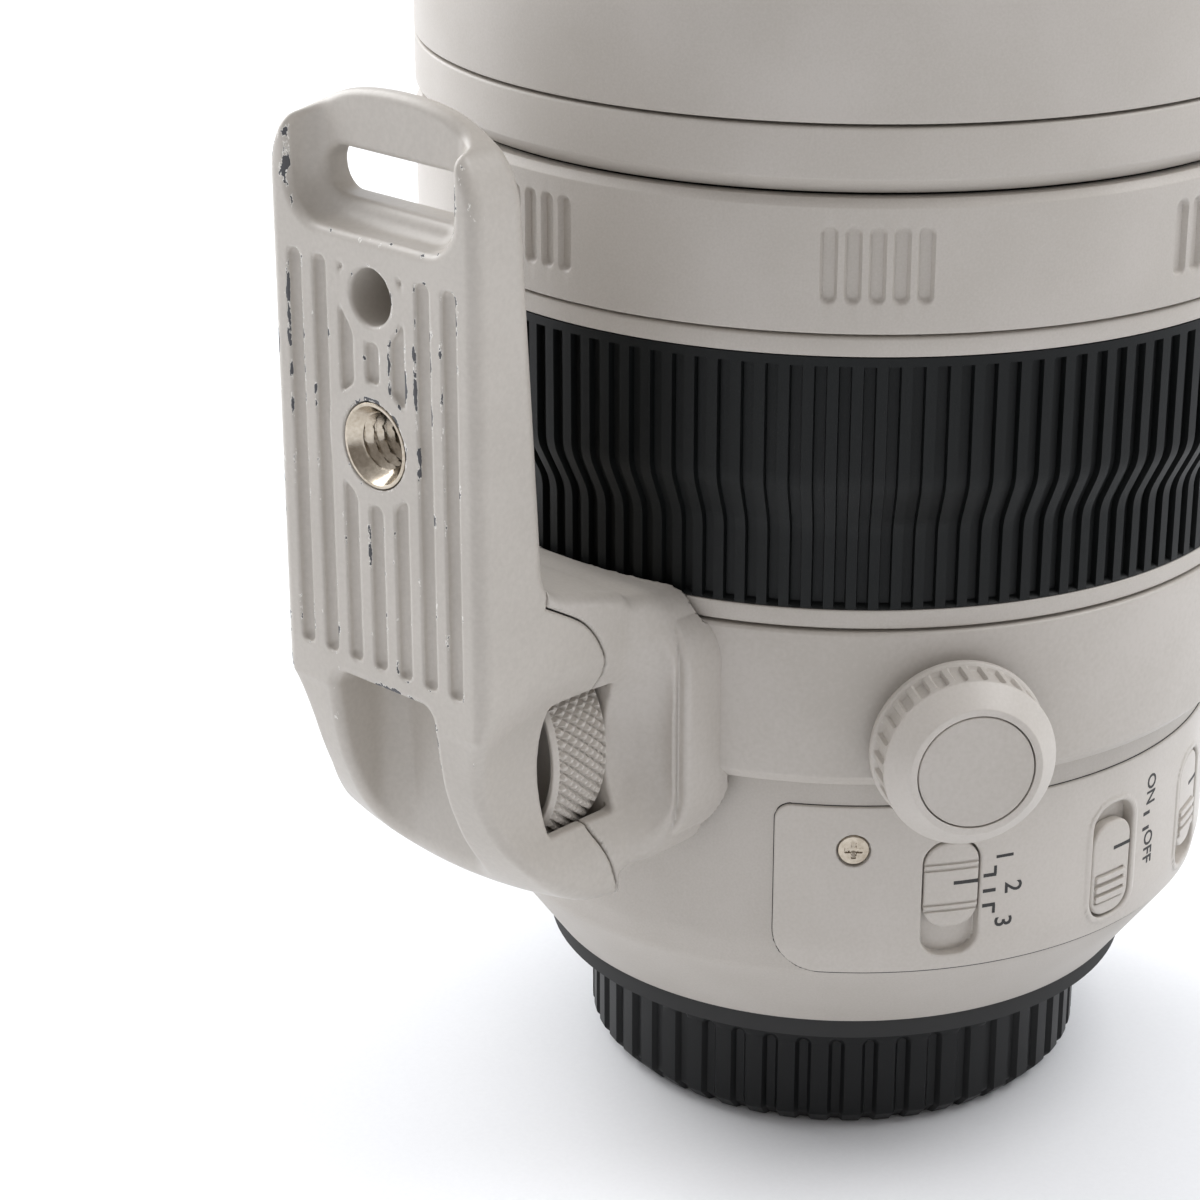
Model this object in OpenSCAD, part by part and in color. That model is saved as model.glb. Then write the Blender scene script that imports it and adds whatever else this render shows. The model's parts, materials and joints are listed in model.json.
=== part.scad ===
// Camera zoom lens with a rotating tripod collar, standing on its rear cap.
// Z is the lens axis with the front up, and the tripod foot points to -Y.
// Angles round the axis are counted from -Y towards +X.

/* [Fits] */
// Gap between a turning or sliding ring and what it runs on
run_gap = 0.3; // [0.2:0.05:0.4]
// Gap between pieces that are fixed to each other
fit_gap = 0.1; // [0.05:0.01:0.15]
// Seam between neighbouring rings along the lens axis
ring_gap = 0.3; // [0.2:0.05:0.5]

/* [Rear cap] */
// Height of the rear cap
cap_h = 14.2; // [13:0.1:18]
// Thickness of the cap's floor and side wall
cap_wall = 1.4; // [1.2:0.1:2]
// Bevel at the cap's base
cap_bevel = 1.8; // [0.8:0.1:2.2]
// Room between the bayonet tabs and the cap's wall
cap_clear = 0.4; // [0.3:0.1:0.8]
// Number of finger grooves round the cap
cap_grooves = 48; // [24:4:60]
// Radius of a finger groove
cap_groove_r = 1; // [0.8:0.1:1.3]
// Depth of a finger groove
cap_groove_depth = 0.6; // [0.4:0.1:0.8]
// Height at which the finger grooves end
cap_groove_top = 10.8; // [8:0.1:12]
// Thickness of a bayonet lug in the cap
lug_t = 1.1; // [0.8:0.1:1.2]
// Angle that a bayonet lug covers
lug_angle = 44; // [30:1:55]

/* [Camera mount] */
// Radius of the mount's hub
hub_r = 25.2; // [24:0.1:26]
// Wall of the mount's hub
hub_wall = 1.7; // [1.2:0.1:2]
// Length of the hub behind the flange
hub_l = 5.9; // [5:0.1:7]
// Radius of the mount's flange
flange_r = 32.2; // [31:0.1:33]
// Thickness of the mount's flange
flange_t = 2.4; // [2:0.1:3]
// Reach of a bayonet tab beyond the hub
tab_reach = 1.4; // [1:0.1:1.8]
// Thickness of a bayonet tab
tab_t = 2; // [1.5:0.1:2.4]
// Distance from the flange face to a bayonet tab
tab_drop = 1.8; // [1.7:0.1:2.4]
// Angle that a bayonet tab covers
tab_angle = 46; // [30:1:55]
// Width of the rubber seal round the flange
seal_w = 1; // [0.6:0.1:1.4]
// Number of screws in the mount
mount_screw_count = 4; // [3:1:6]
// Radius of a mount screw's head
mount_head_r = 1.6; // [1.3:0.1:1.9]
// Number of electrical contacts
contact_count = 11; // [8:1:12]

/* [Barrels] */
// Outside radius of the fixed main barrel
barrel_r = 41; // [39:0.5:44]
// Wall of the fixed main barrel
barrel_wall = 1.4; // [1.2:0.1:1.8]
// Wall of the sliding front tube
tube_wall = 1.6; // [1.3:0.1:1.9]
// Wall of the cam barrel
cam_wall = 1.5; // [1.2:0.1:1.8]
// Wall of the guide barrel
guide_wall = 1.4; // [1.2:0.1:1.8]
// Wall of the sleeve that carries the front rings
sleeve_wall = 3.3; // [2.8:0.1:4]
// Wall of the rings and shells at the widest radius
ring_wall = 2.2; // [1.8:0.1:3]

/* [Rear barrel] */
// Length of the rear barrel
rear_l = 31.5; // [30:0.1:36]
// Step from the main barrel out to the rear barrel
rear_step = 0.2; // [0:0.1:0.6]
// Wall of the rear barrel
rear_wall = 2.4; // [2:0.1:2.8]
// Margin of the rear edge round the mount's seal
rear_lip = 0.5; // [0.3:0.1:1]
// Inset of the rear cone's wide end from the rear barrel's radius
rear_shoulder_in = 1.8; // [1.4:0.1:2.4]
// Height of the rear cone
rear_shoulder_h = 8; // [7:0.1:9]
// Height over which the rear barrel tapers
rear_taper_h = 13.2; // [11:0.1:15]
// Thickness of the rear barrel's floor
rear_floor_t = 2.5; // [2:0.1:3]

/* [Switch panel] */
// Angle where the switch panel starts
panel_start = 30.8; // [28:0.1:34]
// Angle where the switch panel ends
panel_end = 170.6; // [165:0.1:175]
// Height of the panel's lower edge above the rear edge
panel_rise = 9.8; // [9:0.1:10.5]
// Height of the panel
panel_h = 19.5; // [18.5:0.1:20.5]
// Thickness of the panel
panel_t = 1.7; // [1.4:0.1:1.9]
// How far the panel stands out of the rear barrel
panel_proud = 0.3; // [0.1:0.1:0.5]
// Corner radius of the panel
panel_corner = 3.5; // [2:0.1:4]
// Angle of the first switch slot
slot_first = 56.6; // [55:0.1:58]
// Angle between the first two switch slots, and between the last two
slot_pitch = 28.1; // [27:0.1:29]
// Angle between the middle two switch slots
slot_middle = 22.9; // [22:0.1:26]
// Width of a switch slot
slot_w = 6.3; // [5.8:0.1:7]
// Height of a switch slot
slot_h = 13.4; // [12.5:0.1:14]
// Height of a slot above the panel's lower edge
slot_rise = 1.8; // [1.5:0.1:2.5]
// Gap between a switch and its slot
slider_gap = 0.25; // [0.2:0.05:0.4]
// How far a switch stands out of the panel
slider_proud = 0.5; // [0.3:0.1:0.8]
// Whole travel of a switch with three positions
travel_three = 3.2; // [2.4:0.1:3.6]
// Whole travel of a switch with two positions
travel_two = 2; // [1.4:0.1:2.4]
// Radius of a panel screw's head
panel_screw_r = 1.65; // [1.4:0.05:1.9]
// Angle from the panel's end to its screw
panel_screw_in = 11.4; // [9:0.1:13]

/* [Tripod collar] */
// Length of the collar's band
collar_l = 17.9; // [16:0.1:20]
// Wall of the collar's band
collar_wall = 3; // [2.6:0.1:3.6]
// Bevel on the collar's rear edge
collar_bevel = 1.2; // [0.6:0.1:1.6]
// Width of the pedestal's pad
pad_w = 36; // [33:0.5:40]
// Corner radius of the pedestal's pad
pad_corner = 7; // [5:0.5:9]
// How far the pad stands out of the collar
pad_t = 1.7; // [1.4:0.1:2.4]
// Overhang of the pad behind the collar
pad_rear = 6.6; // [4:0.1:7]
// Overhang of the pad in front of the collar
pad_front = 2.7; // [2:0.1:4]
// Rise of the pedestal's visor above the pad
visor_rise = 4; // [3:0.1:5]
// Room under the pad's rear overhang, above the switches
pad_clear = 0.4; // [0.3:0.1:0.6]
// Length of the pedestal's neck
neck_l = 4.6; // [4:0.1:5.5]

/* [Tripod foot] */
// Width of the foot
foot_w = 28; // [26:0.5:31]
// Thickness of the foot's plate
foot_t = 9; // [8:0.1:11]
// Distance from the pedestal's neck to the foot's face
arm_l = 19.4; // [18:0.1:24]
// Radius of the arm's lower outline
arm_r = 19.3; // [18.5:0.1:19.4]
// Height of the arm's centre above the thumbwheel
arm_rise = 2.5; // [2:0.1:4]
// Height of the face's lower edge above the thumbwheel
face_rise = 8.5; // [7:0.1:10]
// Length of the foot's plate
foot_l = 59; // [56:0.5:66]
// Corner radius at the foot's end
foot_corner = 9.5; // [7:0.5:11]
// Radius of the foot's nose, seen from the side
foot_nose = 8.5; // [6:0.1:8.8]
// Pitch of the face's grooves
groove_pitch = 3.55; // [3.3:0.05:3.7]
// Width of a groove in the face
groove_w = 1.5; // [1:0.1:2]
// Depth of a groove in the face
groove_depth = 0.9; // [0.5:0.1:1.2]
// Number of grooves in the face
groove_count = 7; // [5:2:7]
// Margin below the grooves
groove_margin = 2.3; // [1.5:0.1:3]
// Length of the grooves
groove_l = 40.3; // [38:0.1:42]
// Height of the tripod bush above the face's lower edge
bush_rise = 25.3; // [22:0.1:28]
// Radius of the bush's quarter inch thread
bush_bore_r = 3.175; // [3:0.005:3.3]
// Radius of the bush
bush_r = 4.25; // [4:0.05:4.6]
// Length of the bush
bush_l = 7.5; // [6:0.1:7.8]
// Radius of the plain land round the bush
bush_land = 6.2; // [5.5:0.1:7]
// Distance from the bush to the pin hole
pin_pitch = 14.6; // [14:0.1:15.2]
// Radius of the pin hole
pin_r = 2.75; // [2.5:0.05:3]
// Depth of the pin hole
pin_depth = 5.5; // [4.5:0.1:6.5]
// Radius of the plain land round the pin hole
pin_land = 4.5; // [4:0.1:5]
// Rise from the scoop's step to the foot's end
scoop_rise = 13.4; // [12.6:0.1:14]
// Depth of the scoop at the foot's end
scoop_depth = 4; // [3:0.1:5]
// Wall left on each side of the scoop
scoop_wall = 3.3; // [2.5:0.1:4]
// Height of the strap slot
strap_h = 4.8; // [4.4:0.1:5.5]
// Width of the strap slot
strap_w = 20; // [17:0.5:21]
// Distance from the scoop's step to the strap slot
strap_rise = 1.9; // [1.5:0.1:3]
// Side wall beside the hollow in the arm
hollow_wall = 7; // [5:0.1:8]
// Depth of the hollow in the arm
hollow_depth = 8; // [6:0.1:9]

/* [Thumbwheel] */
// Radius of the thumbwheel
wheel_r = 13; // [12:0.1:13.5]
// Thickness of the thumbwheel
wheel_t = 7.6; // [6:0.1:8]
// Height of the thumbwheel above the collar's rear edge
wheel_rise = 5.9; // [5.5:0.1:7]
// Radius of the thumbwheel's screw
wheel_screw_r = 3; // [2.5:0.1:3.5]
// Length of the thumbwheel's screw in the pedestal
wheel_screw_l = 5.2; // [4:0.1:5.6]
// Height of the windows that show the thumbwheel
window_h = 13.4; // [12:0.1:15]
// Radius of the hollow for a thumb beside each window
dish_r = 16; // [14:0.5:20]

/* [Lock knob] */
// Angle of the lock knob
knob_angle = 54.6; // [52:0.1:58]
// Height of the lock knob above the collar's rear edge
knob_rise = 6.2; // [6:0.1:9]
// Radius of the lock knob
knob_r = 8.8; // [8:0.1:9.5]
// Length of the lock knob
knob_l = 7.1; // [6:0.1:9]
// Gap from the collar to the lock knob
knob_gap = 1.2; // [1:0.1:2]
// Length of the knob's bevel
knob_bevel = 1.5; // [1:0.1:2]
// Number of ridges round the knob
knob_ridges = 28; // [20:1:32]
// Radius of the disc in the knob's face
disc_r = 5.9; // [5:0.1:6.2]
// Thickness of the disc in the knob's face
disc_t = 1; // [0.8:0.1:1.5]
// Radius of the knob's screw
knob_screw_r = 2.5; // [2:0.1:3]
// Radius of the brake shoe
shoe_r = 4; // [3.5:0.1:4.5]
// Thickness of the brake shoe
shoe_t = 1.7; // [1.4:0.1:1.9]
// Travel of the brake shoe
shoe_travel = 0.5; // [0.3:0.1:0.6]

/* [Zoom ring] */
// Length of the zoom ring
zoom_l = 31; // [29:0.1:34]
// Wall of the zoom ring under its grip
zoom_wall = 1.4; // [1.2:0.1:1.8]
// Thickness of the zoom ring's rubber grip
grip_t = 1.3; // [1:0.1:1.6]
// Inset of the zoom ring from the widest radius
zoom_inset = 0.3; // [0.1:0.1:0.6]
// Length of the pale lip at each end of the zoom ring
zoom_lip = 2; // [1.5:0.1:2.5]
// Height of the slope's start above the zoom ring's rear edge
slope_rise = 10.7; // [9:0.1:12]
// Length of the slope between the two radii
slope_l = 5; // [4:0.1:7]
// Turn of the zoom ring from wide to long
zoom_turn = 80; // [70:1:85]

/* [Front rings] */
// Length of the torque ring
torque_l = 13.1; // [12:0.1:15]
// Angle of the first groove group
torque_first = 42.5; // [30:0.5:60]
// Number of groove groups round the torque ring
torque_groups = 8; // [6:1:9]
// Number of grooves in a group
torque_grooves = 5; // [3:1:5]
// Angle between grooves in a group
torque_groove_pitch = 2.8; // [2.5:0.1:3.2]
// Width of a groove in the torque ring
torque_groove_w = 1.3; // [1:0.1:1.6]
// Depth of a groove in the torque ring
torque_groove_depth = 0.6; // [0.4:0.1:0.8]
// Margin from the torque ring's edges to its grooves
torque_margin = 2.7; // [2.2:0.1:3.5]
// Length of the index band
index_l = 6.5; // [5:0.1:8]
// Bevel on the index band's rear edge
index_bevel = 1.2; // [0.8:0.1:1.5]
// Length of the front shell
shell_l = 32.2; // [30:0.1:36]
// Length of the focus ring
focus_l = 20.2; // [18:0.1:24]
// Length of the control ring
control_l = 9.8; // [8:0.1:12]
// Length of the trim ring
trim_l = 7.6; // [7:0.1:10]
// Thickness of the trim ring's front lip
trim_lip = 1.6; // [1.2:0.1:2]
// Thickness of the dust seal
dust_t = 2.2; // [1.8:0.1:2.6]

/* [Moving front] */
// Travel of the front barrel
front_travel = 86; // [80:1:88]
// Length of the nose
nose_l = 32.8; // [31:0.1:36]
// Wall of the nose round the filter thread
nose_wall = 6; // [5.6:0.1:6.6]
// Depth of the nose's socket for the tube
socket_l = 2.2; // [1.8:0.1:3]
// Thickness of the shoulder in the nose
shoulder_t = 3.2; // [2.5:0.1:4]
// Radius of the filter thread
filter_r = 38.5; // [38:0.1:39.2]
// Length of the filter thread
filter_l = 6; // [5:0.1:7]
// Thickness of the front ring behind the filter thread
front_ring_t = 2; // [1.5:0.1:2.5]
// Wall of the front lens cell
front_cell_wall = 3.3; // [2.8:0.1:4]
// Length of the hood bayonet on the nose
hood_l = 12.8; // [11:0.1:14]
// Depth of the hood bayonet's groove
hood_depth = 1; // [0.8:0.1:1.4]

/* [Inner groups] */
// Radius of a cam roller
roller_r = 2; // [1.6:0.1:2.2]
// Travel of the zoom group
zoom_travel = 18; // [14:0.5:19]
// Length of the zoom group's cell
zoom_cell_l = 16; // [14:0.5:17]
// Travel of the focus group
focus_travel = 20; // [14:0.5:24]
// Length of the focus group's cell
focus_cell_l = 12; // [10:0.5:14]
// Length of the guide rods
rod_l = 52; // [50:0.5:60]
// Radius of a guide rod
rod_r = 1.5; // [1.2:0.1:1.8]
// Travel of the stabiliser each way
shift_travel = 0.8; // [0.5:0.1:1]

/* [Hidden] */
$fn = 96;
cut = 1;
end_ease = 0.01;

// Radii inwards from the main barrel
barrel_in = barrel_r - barrel_wall;
tube_r = barrel_in - run_gap;
tube_in = tube_r - tube_wall;
cam_r = tube_in - run_gap;
cam_in = cam_r - cam_wall;
guide_r = cam_in - run_gap;
guide_in = guide_r - guide_wall;
cell_r = guide_in - run_gap;

// Radii outwards from the main barrel
turn_in = barrel_r + run_gap;
collar_r = turn_in + collar_wall;
zoom_rear_r = turn_in + zoom_wall + grip_t;
sleeve_in = barrel_r + fit_gap;
sleeve_r = sleeve_in + sleeve_wall;
ring_in = sleeve_r + run_gap;
shell_in = sleeve_r + fit_gap;
body_r = ring_in + ring_wall;
zoom_front_r = body_r - zoom_inset;
nose_r = filter_r + nose_wall;
rear_r = barrel_r + rear_step;
rear_in = rear_r - rear_wall;

// Rear cap and camera mount
hub_in = hub_r - hub_wall;
tab_r = hub_r + tab_reach;
cap_in = tab_r + cap_clear;
cap_r = cap_in + cap_wall;
flange_z = cap_h + fit_gap * 2;
lug_in = hub_r + tab_reach / 2;
lug_z0 = flange_z - tab_drop + run_gap;
mount_screw_ring = (hub_r + flange_r) / 2;
mount_head_l = 1.1;
mount_shank_r = 0.9;
mount_bite = 2;
mount_shank_l = flange_t - mount_head_l + mount_bite;
seal_in = flange_r + fit_gap;
seal_r = seal_in + seal_w;
contact_recess = 0.5;
contact_z = flange_z - hub_l + contact_recess;
contact_inset = 1.8;
contact_ring = hub_in - contact_inset;
contact_wall = 1.6;
contact_block_h = 3.4;
contact_pin_h = 0.4;
contact_pin_r = 0.5;
contact_step = 6;

// Heights of the stack, from the rear edge to the front
z_rear = flange_z + flange_t;
z_rear_end = z_rear + rear_l;
z_collar = z_rear_end + ring_gap;
z_collar_end = z_collar + collar_l;
z_zoom = z_collar_end + ring_gap;
z_zoom_end = z_zoom + zoom_l;
z_torque = z_zoom_end + ring_gap;
z_torque_end = z_torque + torque_l;
z_index = z_torque_end + ring_gap;
z_index_end = z_index + index_l;
z_shell = z_index_end + ring_gap;
z_shell_end = z_shell + shell_l;
z_focus = z_shell_end + ring_gap;
z_focus_end = z_focus + focus_l;
z_control = z_focus_end + ring_gap;
z_control_end = z_control + control_l;
z_trim = z_control_end + ring_gap;
z_trim_end = z_trim + trim_l;
z_nose = z_trim_end + ring_gap;
z_nose_end = z_nose + nose_l;

// Rear barrel and switches
rear_edge_r = seal_r + rear_lip;
rear_shoulder_r = rear_r - rear_shoulder_in;
rear_floor_r = rear_edge_r - rear_wall + (rear_shoulder_r - rear_edge_r) * rear_floor_t / rear_shoulder_h;
floor_bore = hub_r + run_gap;
board_boss_r = 2;
board_boss_ring = floor_bore + 5;
panel_z = z_rear + panel_rise;
panel_r = rear_r + panel_proud;
panel_in = panel_r - panel_t;
corner_ease = 0.1;
slot_z = panel_z + slot_rise;
slider_in = panel_in + run_gap;
slider_r = panel_r + slider_proud;
rib_h = 0.4;
rib_w = 0.8;
rib_pitch = 1.6;
three_l = slot_h - travel_three - 2 * slider_gap;
two_l = slot_h - travel_two - 2 * slider_gap;
stem_w = 2;
stem_l = 2.4;
stem_in = rear_in - 1;
stem_room = 2;
stem_depth = 4;
panel_screw_rise = 14.5;
panel_screw_z = panel_z + panel_screw_rise;
cross_w = 0.4;
cross_l = 2;
board_r = stem_in - run_gap;
board_t = 1;
board_post_r = 1.5;
main_board_rise = 3.7;
main_board_z = z_rear + rear_floor_t + main_board_rise;
main_board_t = 1.5;
main_board_clear = 1;

// Collar, foot and thumbwheel, as distances from the lens axis
pad_y = collar_r + pad_t;
neck_y = pad_y + neck_l;
foot_y = neck_y + arm_l;
plate_y = foot_y - foot_t;
visor_inset = 2;
visor_y = plate_y - visor_inset;
visor_t = 1.2;
pad_z = z_collar - pad_rear;
pad_top = z_collar_end + pad_front;
visor_top = pad_top + visor_rise;
pad_in_rear = slider_r + rib_h + pad_clear;
pad_in_front = zoom_rear_r + run_gap + fit_gap;
wheel_z = z_collar + wheel_rise;
wheel_y = neck_y + run_gap;
wheel_cavity_r = wheel_r + run_gap + fit_gap;
wheel_end = wheel_y + wheel_t;
wheel_stub = 1.2;
visor_mid_reach = 4;
visor_mid_y = neck_y + visor_mid_reach;
visor_mid_drop = 3.8;
visor_mid_z = visor_top - visor_mid_drop;
visor_low_drop = 8.7;
visor_low_z = visor_top - visor_low_drop;
dish_bite = 2.5;
face_z = wheel_z + face_rise;
foot_top = face_z + foot_l;
bush_z = face_z + bush_rise;
pin_z = bush_z + pin_pitch;
scoop_z = foot_top - scoop_rise;
strap_z = scoop_z + strap_rise;

// Lock knob
knob_z = z_collar + knob_rise;
knob_back = collar_r + knob_gap;
knob_face = knob_back + knob_l;
knob_screw_gap = 0.08;
boss_r = 6.5;
boss_top = knob_back - run_gap;
shoe_in = turn_in;
shoe_out = shoe_in + shoe_t;
pocket_top = shoe_out + shoe_travel + fit_gap;
ridge_r = PI * knob_r / knob_ridges / 2;
ridge_out = 0.15;
knob_rim = 0.4;

// Cam, guide and inner groups
base_t = 2;
base_inset = 0.8;
base_z = z_rear_end - base_inset - base_t;
guide_z = base_z + base_t;
cam_z = guide_z + run_gap;
roller_angles = [0, 120, 240];
front_pin_a = 30;
zoom_pin_a = 90;
slot_spare = 1;
slot_end = roller_r + slot_spare;
zoom_cell_rise = 2.5;
zoom_cell_z = guide_z + zoom_cell_rise;
pin_margin = 2;
zoom_pin_z = zoom_cell_z + roller_r + pin_margin;
key_h = 6;
key_angle = 180;
key_span = 9;
key_room = 1;
key_margin = 2;
key_z = zoom_pin_z + zoom_travel + slot_end + key_margin;
tube_margin = 3;
tube_z = key_z + key_h + tube_margin;
front_pin_z = tube_z + roller_r + pin_margin;
guide_margin = 4;
guide_end = front_pin_z + front_travel + slot_end + guide_margin;
main_end = z_trim_end - trim_lip - dust_t;
rod_plate_t = 2.5;
rod_plate_gap = 1;
rod_plate_z = zoom_cell_z + zoom_cell_l + zoom_travel + rod_plate_gap;
rod_z = rod_plate_z + rod_plate_t;
rod_inset = 5;
rod_ring = cell_r - rod_inset;
rod_bush_wall = 2;
rod_web_w = 3;
rod_plate_ledge = 6;
rod_angles = [90, 270];
focus_rest = 5;
focus_cell_z = rod_z + focus_rest;
rod_clear = 2.5;
focus_cell_r = rod_ring - rod_r - rod_clear;
focus_cell_wall = 4;
motor_w = 8;
motor_gap = 1;
motor_margin = 2;
iris_t = 4;
iris_rim = 2;
iris_open_r = 11.2;
iris_inner_r = 19.9;
blade_z = 1.5;
blade_t = 0.5;
zoom_cell_wall = 5.5;
zoom_cell_in = cell_r - zoom_cell_wall;
shift_rise = 16.2;
shift_z = z_rear + shift_rise;
shift_plate_t = 2;
shift_frame_t = 2.2;
shift_cell_l = 4.2;
shift_post_inset = 2.9;
shift_post_ring = cell_r - shift_post_inset;
shift_post_r = 1.6;
shift_post_edge = 0.5;
shift_clear = 1;
shift_frame_r = shift_post_ring - shift_post_r - shift_travel - shift_clear;
shift_ledge = 3;
shift_cell_r = shift_frame_r - shift_ledge;
shift_cell_wall = 3;
shift_frame_wall = 7;
shift_bore = shift_frame_r - shift_frame_wall;
rear_cell_r = hub_in - fit_gap * 2;
rear_cell_wall = 3.4;
rear_cell_in = rear_cell_r - rear_cell_wall;
rear_cell_z = contact_z + contact_block_h;
rear_cell_gap = 3;
rear_cell_end = shift_z - rear_cell_gap;
rear_cell_flange_t = 1.6;
tube_end = z_nose + socket_l;
filter_z = z_nose_end - filter_l;
filter_ledge = 1.1;
nose_seat_r = filter_r - filter_ledge;
nose_ledge = 1.2;
hood_lug_start = 20;
hood_lug_end = 70;
front_ring_slope = 1;
front_cell_r = nose_seat_r - fit_gap;
front_cell_in = front_cell_r - front_cell_wall;
front_cell_z = tube_end + shoulder_t;
front_cell_end = filter_z - front_ring_t;
hood_z = z_nose_end - hood_l;

// Lenses, as thickness, front radius and back radius
rear_glass = [9, 70, 60];
shift_glass = [6, 90, 120];
focus_glass = [8, 60, 90];
zoom_glass = [12, 80, 110];
front_glass = [10, 110, 400];
second_glass = [7, 200, 300];
front_glass_drop = 6.2;
second_glass_rise = 3.9;

// Angle that a width covers on the rear barrel's surface
function span(w) = w / rear_r * 180 / PI;

// Angle of a switch slot, counted from 0
function slot_angle(i) =
    slot_first + (min(i, 1) + max(0, i - 2)) * slot_pitch + max(0, min(i - 1, 1)) * slot_middle;

// Ring between two radii and two heights
module ring(r_in, r_out, z0, z1) {
    translate([0, 0, z0])
        difference() {
            cylinder(r = r_out, h = z1 - z0);
            translate([0, 0, -cut])
                cylinder(r = r_in, h = z1 - z0 + 2 * cut);
        }
}

// Part of a ring between two angles
module sector(r_in, r_out, z0, z1, a0, a1) {
    translate([0, 0, z0])
        rotate(a0 - 90)
            rotate_extrude(angle = a1 - a0)
                translate([r_in, 0])
                    square([r_out - r_in, z1 - z0]);
}

// Turns a child so that its Z points outwards at an angle and height
module outward(a, z) {
    rotate(a - 90)
        translate([0, 0, z])
            rotate([0, 90, 0])
                children();
}

// Round peg that points outwards between two distances from the axis
module peg(a, z, from, to, r) {
    outward(a, z)
        translate([0, 0, from])
            cylinder(r = r, h = to - from);
}

// Side outline in Y and Z, made solid across the foot
module across(w) {
    rotate([90, 0, 90])
        translate([0, 0, -w / 2])
            linear_extrude(w)
                children();
}

// Outline in X and Z, made solid between two distances towards the foot
module along(y0, y1) {
    translate([0, -y0, 0])
        rotate([90, 0, 0])
            linear_extrude(y1 - y0)
                children();
}

// Rectangle with round corners, centred in X and standing on its base
module round_rect(w, h, r) {
    translate([-w / 2, r])
        square([w, h - 2 * r]);
    translate([r - w / 2, 0])
        square([w - 2 * r, h]);
    for (x = [r - w / 2, w / 2 - r], y = [r, h - r])
        translate([x, y])
            circle(r = r);
}

// Lens element with two round faces, cut to a radius
module glass(r, z, sizes) {
    t = sizes[0];
    color("#9fb3bd")
        rotate_extrude()
            intersection() {
                translate([0, z - t])
                    square([r, 2 * t]);
                translate([0, z + t / 2 - sizes[1]])
                    circle(r = sizes[1], $fn = 720);
                translate([0, z - t / 2 + sizes[2]])
                    circle(r = sizes[2], $fn = 720);
            }
}

// Switch panel's outline between two radii, grown by a margin, with round corners
module panel_blank(r_in, r_out, grow) {
    a0 = panel_start - span(grow);
    a1 = panel_end + span(grow);
    difference() {
        sector(r_in, r_out, panel_z - grow, panel_z + panel_h + grow, a0, a1);
        for (end = [[a0, 0], [a1, 1]], top = [0, 1])
            outward(end[0], panel_z - grow + top * (panel_h + 2 * grow))
                linear_extrude(r_out + cut)
                    mirror([1 - top, 0])
                        mirror([0, end[1]])
                            panel_corner_outline();
    }
}

// Waste at a corner of the switch panel
module panel_corner_outline() {
    difference() {
        translate([-cut, -cut])
            square(panel_corner + cut);
        translate([panel_corner - corner_ease, panel_corner - corner_ease])
            circle(r = panel_corner, $fn = 12);
    }
}

// Switch in a slot, raised by an offset from the slot's lower end
module slider(i, l, offset) {
    a = slot_angle(i);
    half = span(slot_w / 2 - slider_gap);
    z0 = slot_z + slider_gap + offset;
    mid = z0 + l / 2;
    color("#d9d4cb") {
        sector(slider_in, slider_r, z0, z0 + l, a - half, a + half);
        for (k = [-1:1])
            sector(slider_r - fit_gap, slider_r + rib_h, mid + k * rib_pitch - rib_w / 2,
                mid + k * rib_pitch + rib_w / 2, a - half + span(rib_w), a + half - span(rib_w));
        sector(stem_in, slider_in + fit_gap, mid - stem_l / 2, mid + stem_l / 2,
            a - span(stem_w / 2), a + span(stem_w / 2));
    }
}

// Sloping cam slot that lifts a roller as the barrel turns
module cam_slot(a, z, travel) {
    run = (cam_r + cam_in) / 2 * zoom_turn * PI / 180;
    w = (2 * roller_r + 2 * run_gap) / sin(atan2(travel, run));
    lead = zoom_turn / travel;
    h = travel + 2 * slot_end;
    translate([0, 0, z - slot_end])
        rotate(a - 90 + lead * slot_end)
            linear_extrude(h, twist = lead * h, slices = 18, segments = 4)
                translate([cam_in - cut, -w / 2])
                    square([cam_wall + 2 * cut, w]);
}

// Straight slot that keeps a roller from turning
module guide_slot(a, z, travel) {
    w = 2 * roller_r + 2 * run_gap;
    rotate(a - 90)
        translate([guide_in - cut, -w / 2, z - slot_end])
            cube([guide_wall + 2 * cut, w, travel + 2 * slot_end]);
}

// Profile of a ring with a rubber grip let into it, with lips at both ends
module grip_ring(r_in, r_out, t, lip, z0, z1) {
    rotate_extrude()
        polygon([[r_in, z0], [r_out, z0], [r_out, z0 + lip], [r_out - t, z0 + lip],
            [r_out - t, z1 - lip], [r_out, z1 - lip], [r_out, z1], [r_in, z1]]);
}

// Black cap with finger grooves and bayonet lugs
module rear_cap() {
    color("#1b1b1c")
        difference() {
            union() {
                rotate_extrude()
                    polygon([[0, 0], [cap_r - cap_bevel, 0], [cap_r, cap_bevel], [cap_r, cap_h],
                        [cap_in, cap_h], [cap_in, cap_wall], [0, cap_wall]]);
                for (i = [0:2])
                    sector(lug_in, cap_in + fit_gap, lug_z0, lug_z0 + lug_t, 120 * i, 120 * i + lug_angle);
            }
            for (i = [0:cap_grooves - 1])
                rotate(360 / cap_grooves * i)
                    translate([cap_r + cap_groove_r - cap_groove_depth, 0, -cut])
                        cylinder(r = cap_groove_r, h = cap_groove_top + cut);
        }
}

// Places a child at each mount screw, at the flange face
module at_mount_screws() {
    for (i = [0:mount_screw_count - 1])
        rotate(360 / mount_screw_count * (i + 0.5))
            translate([mount_screw_ring, 0, flange_z])
                children();
}

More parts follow.
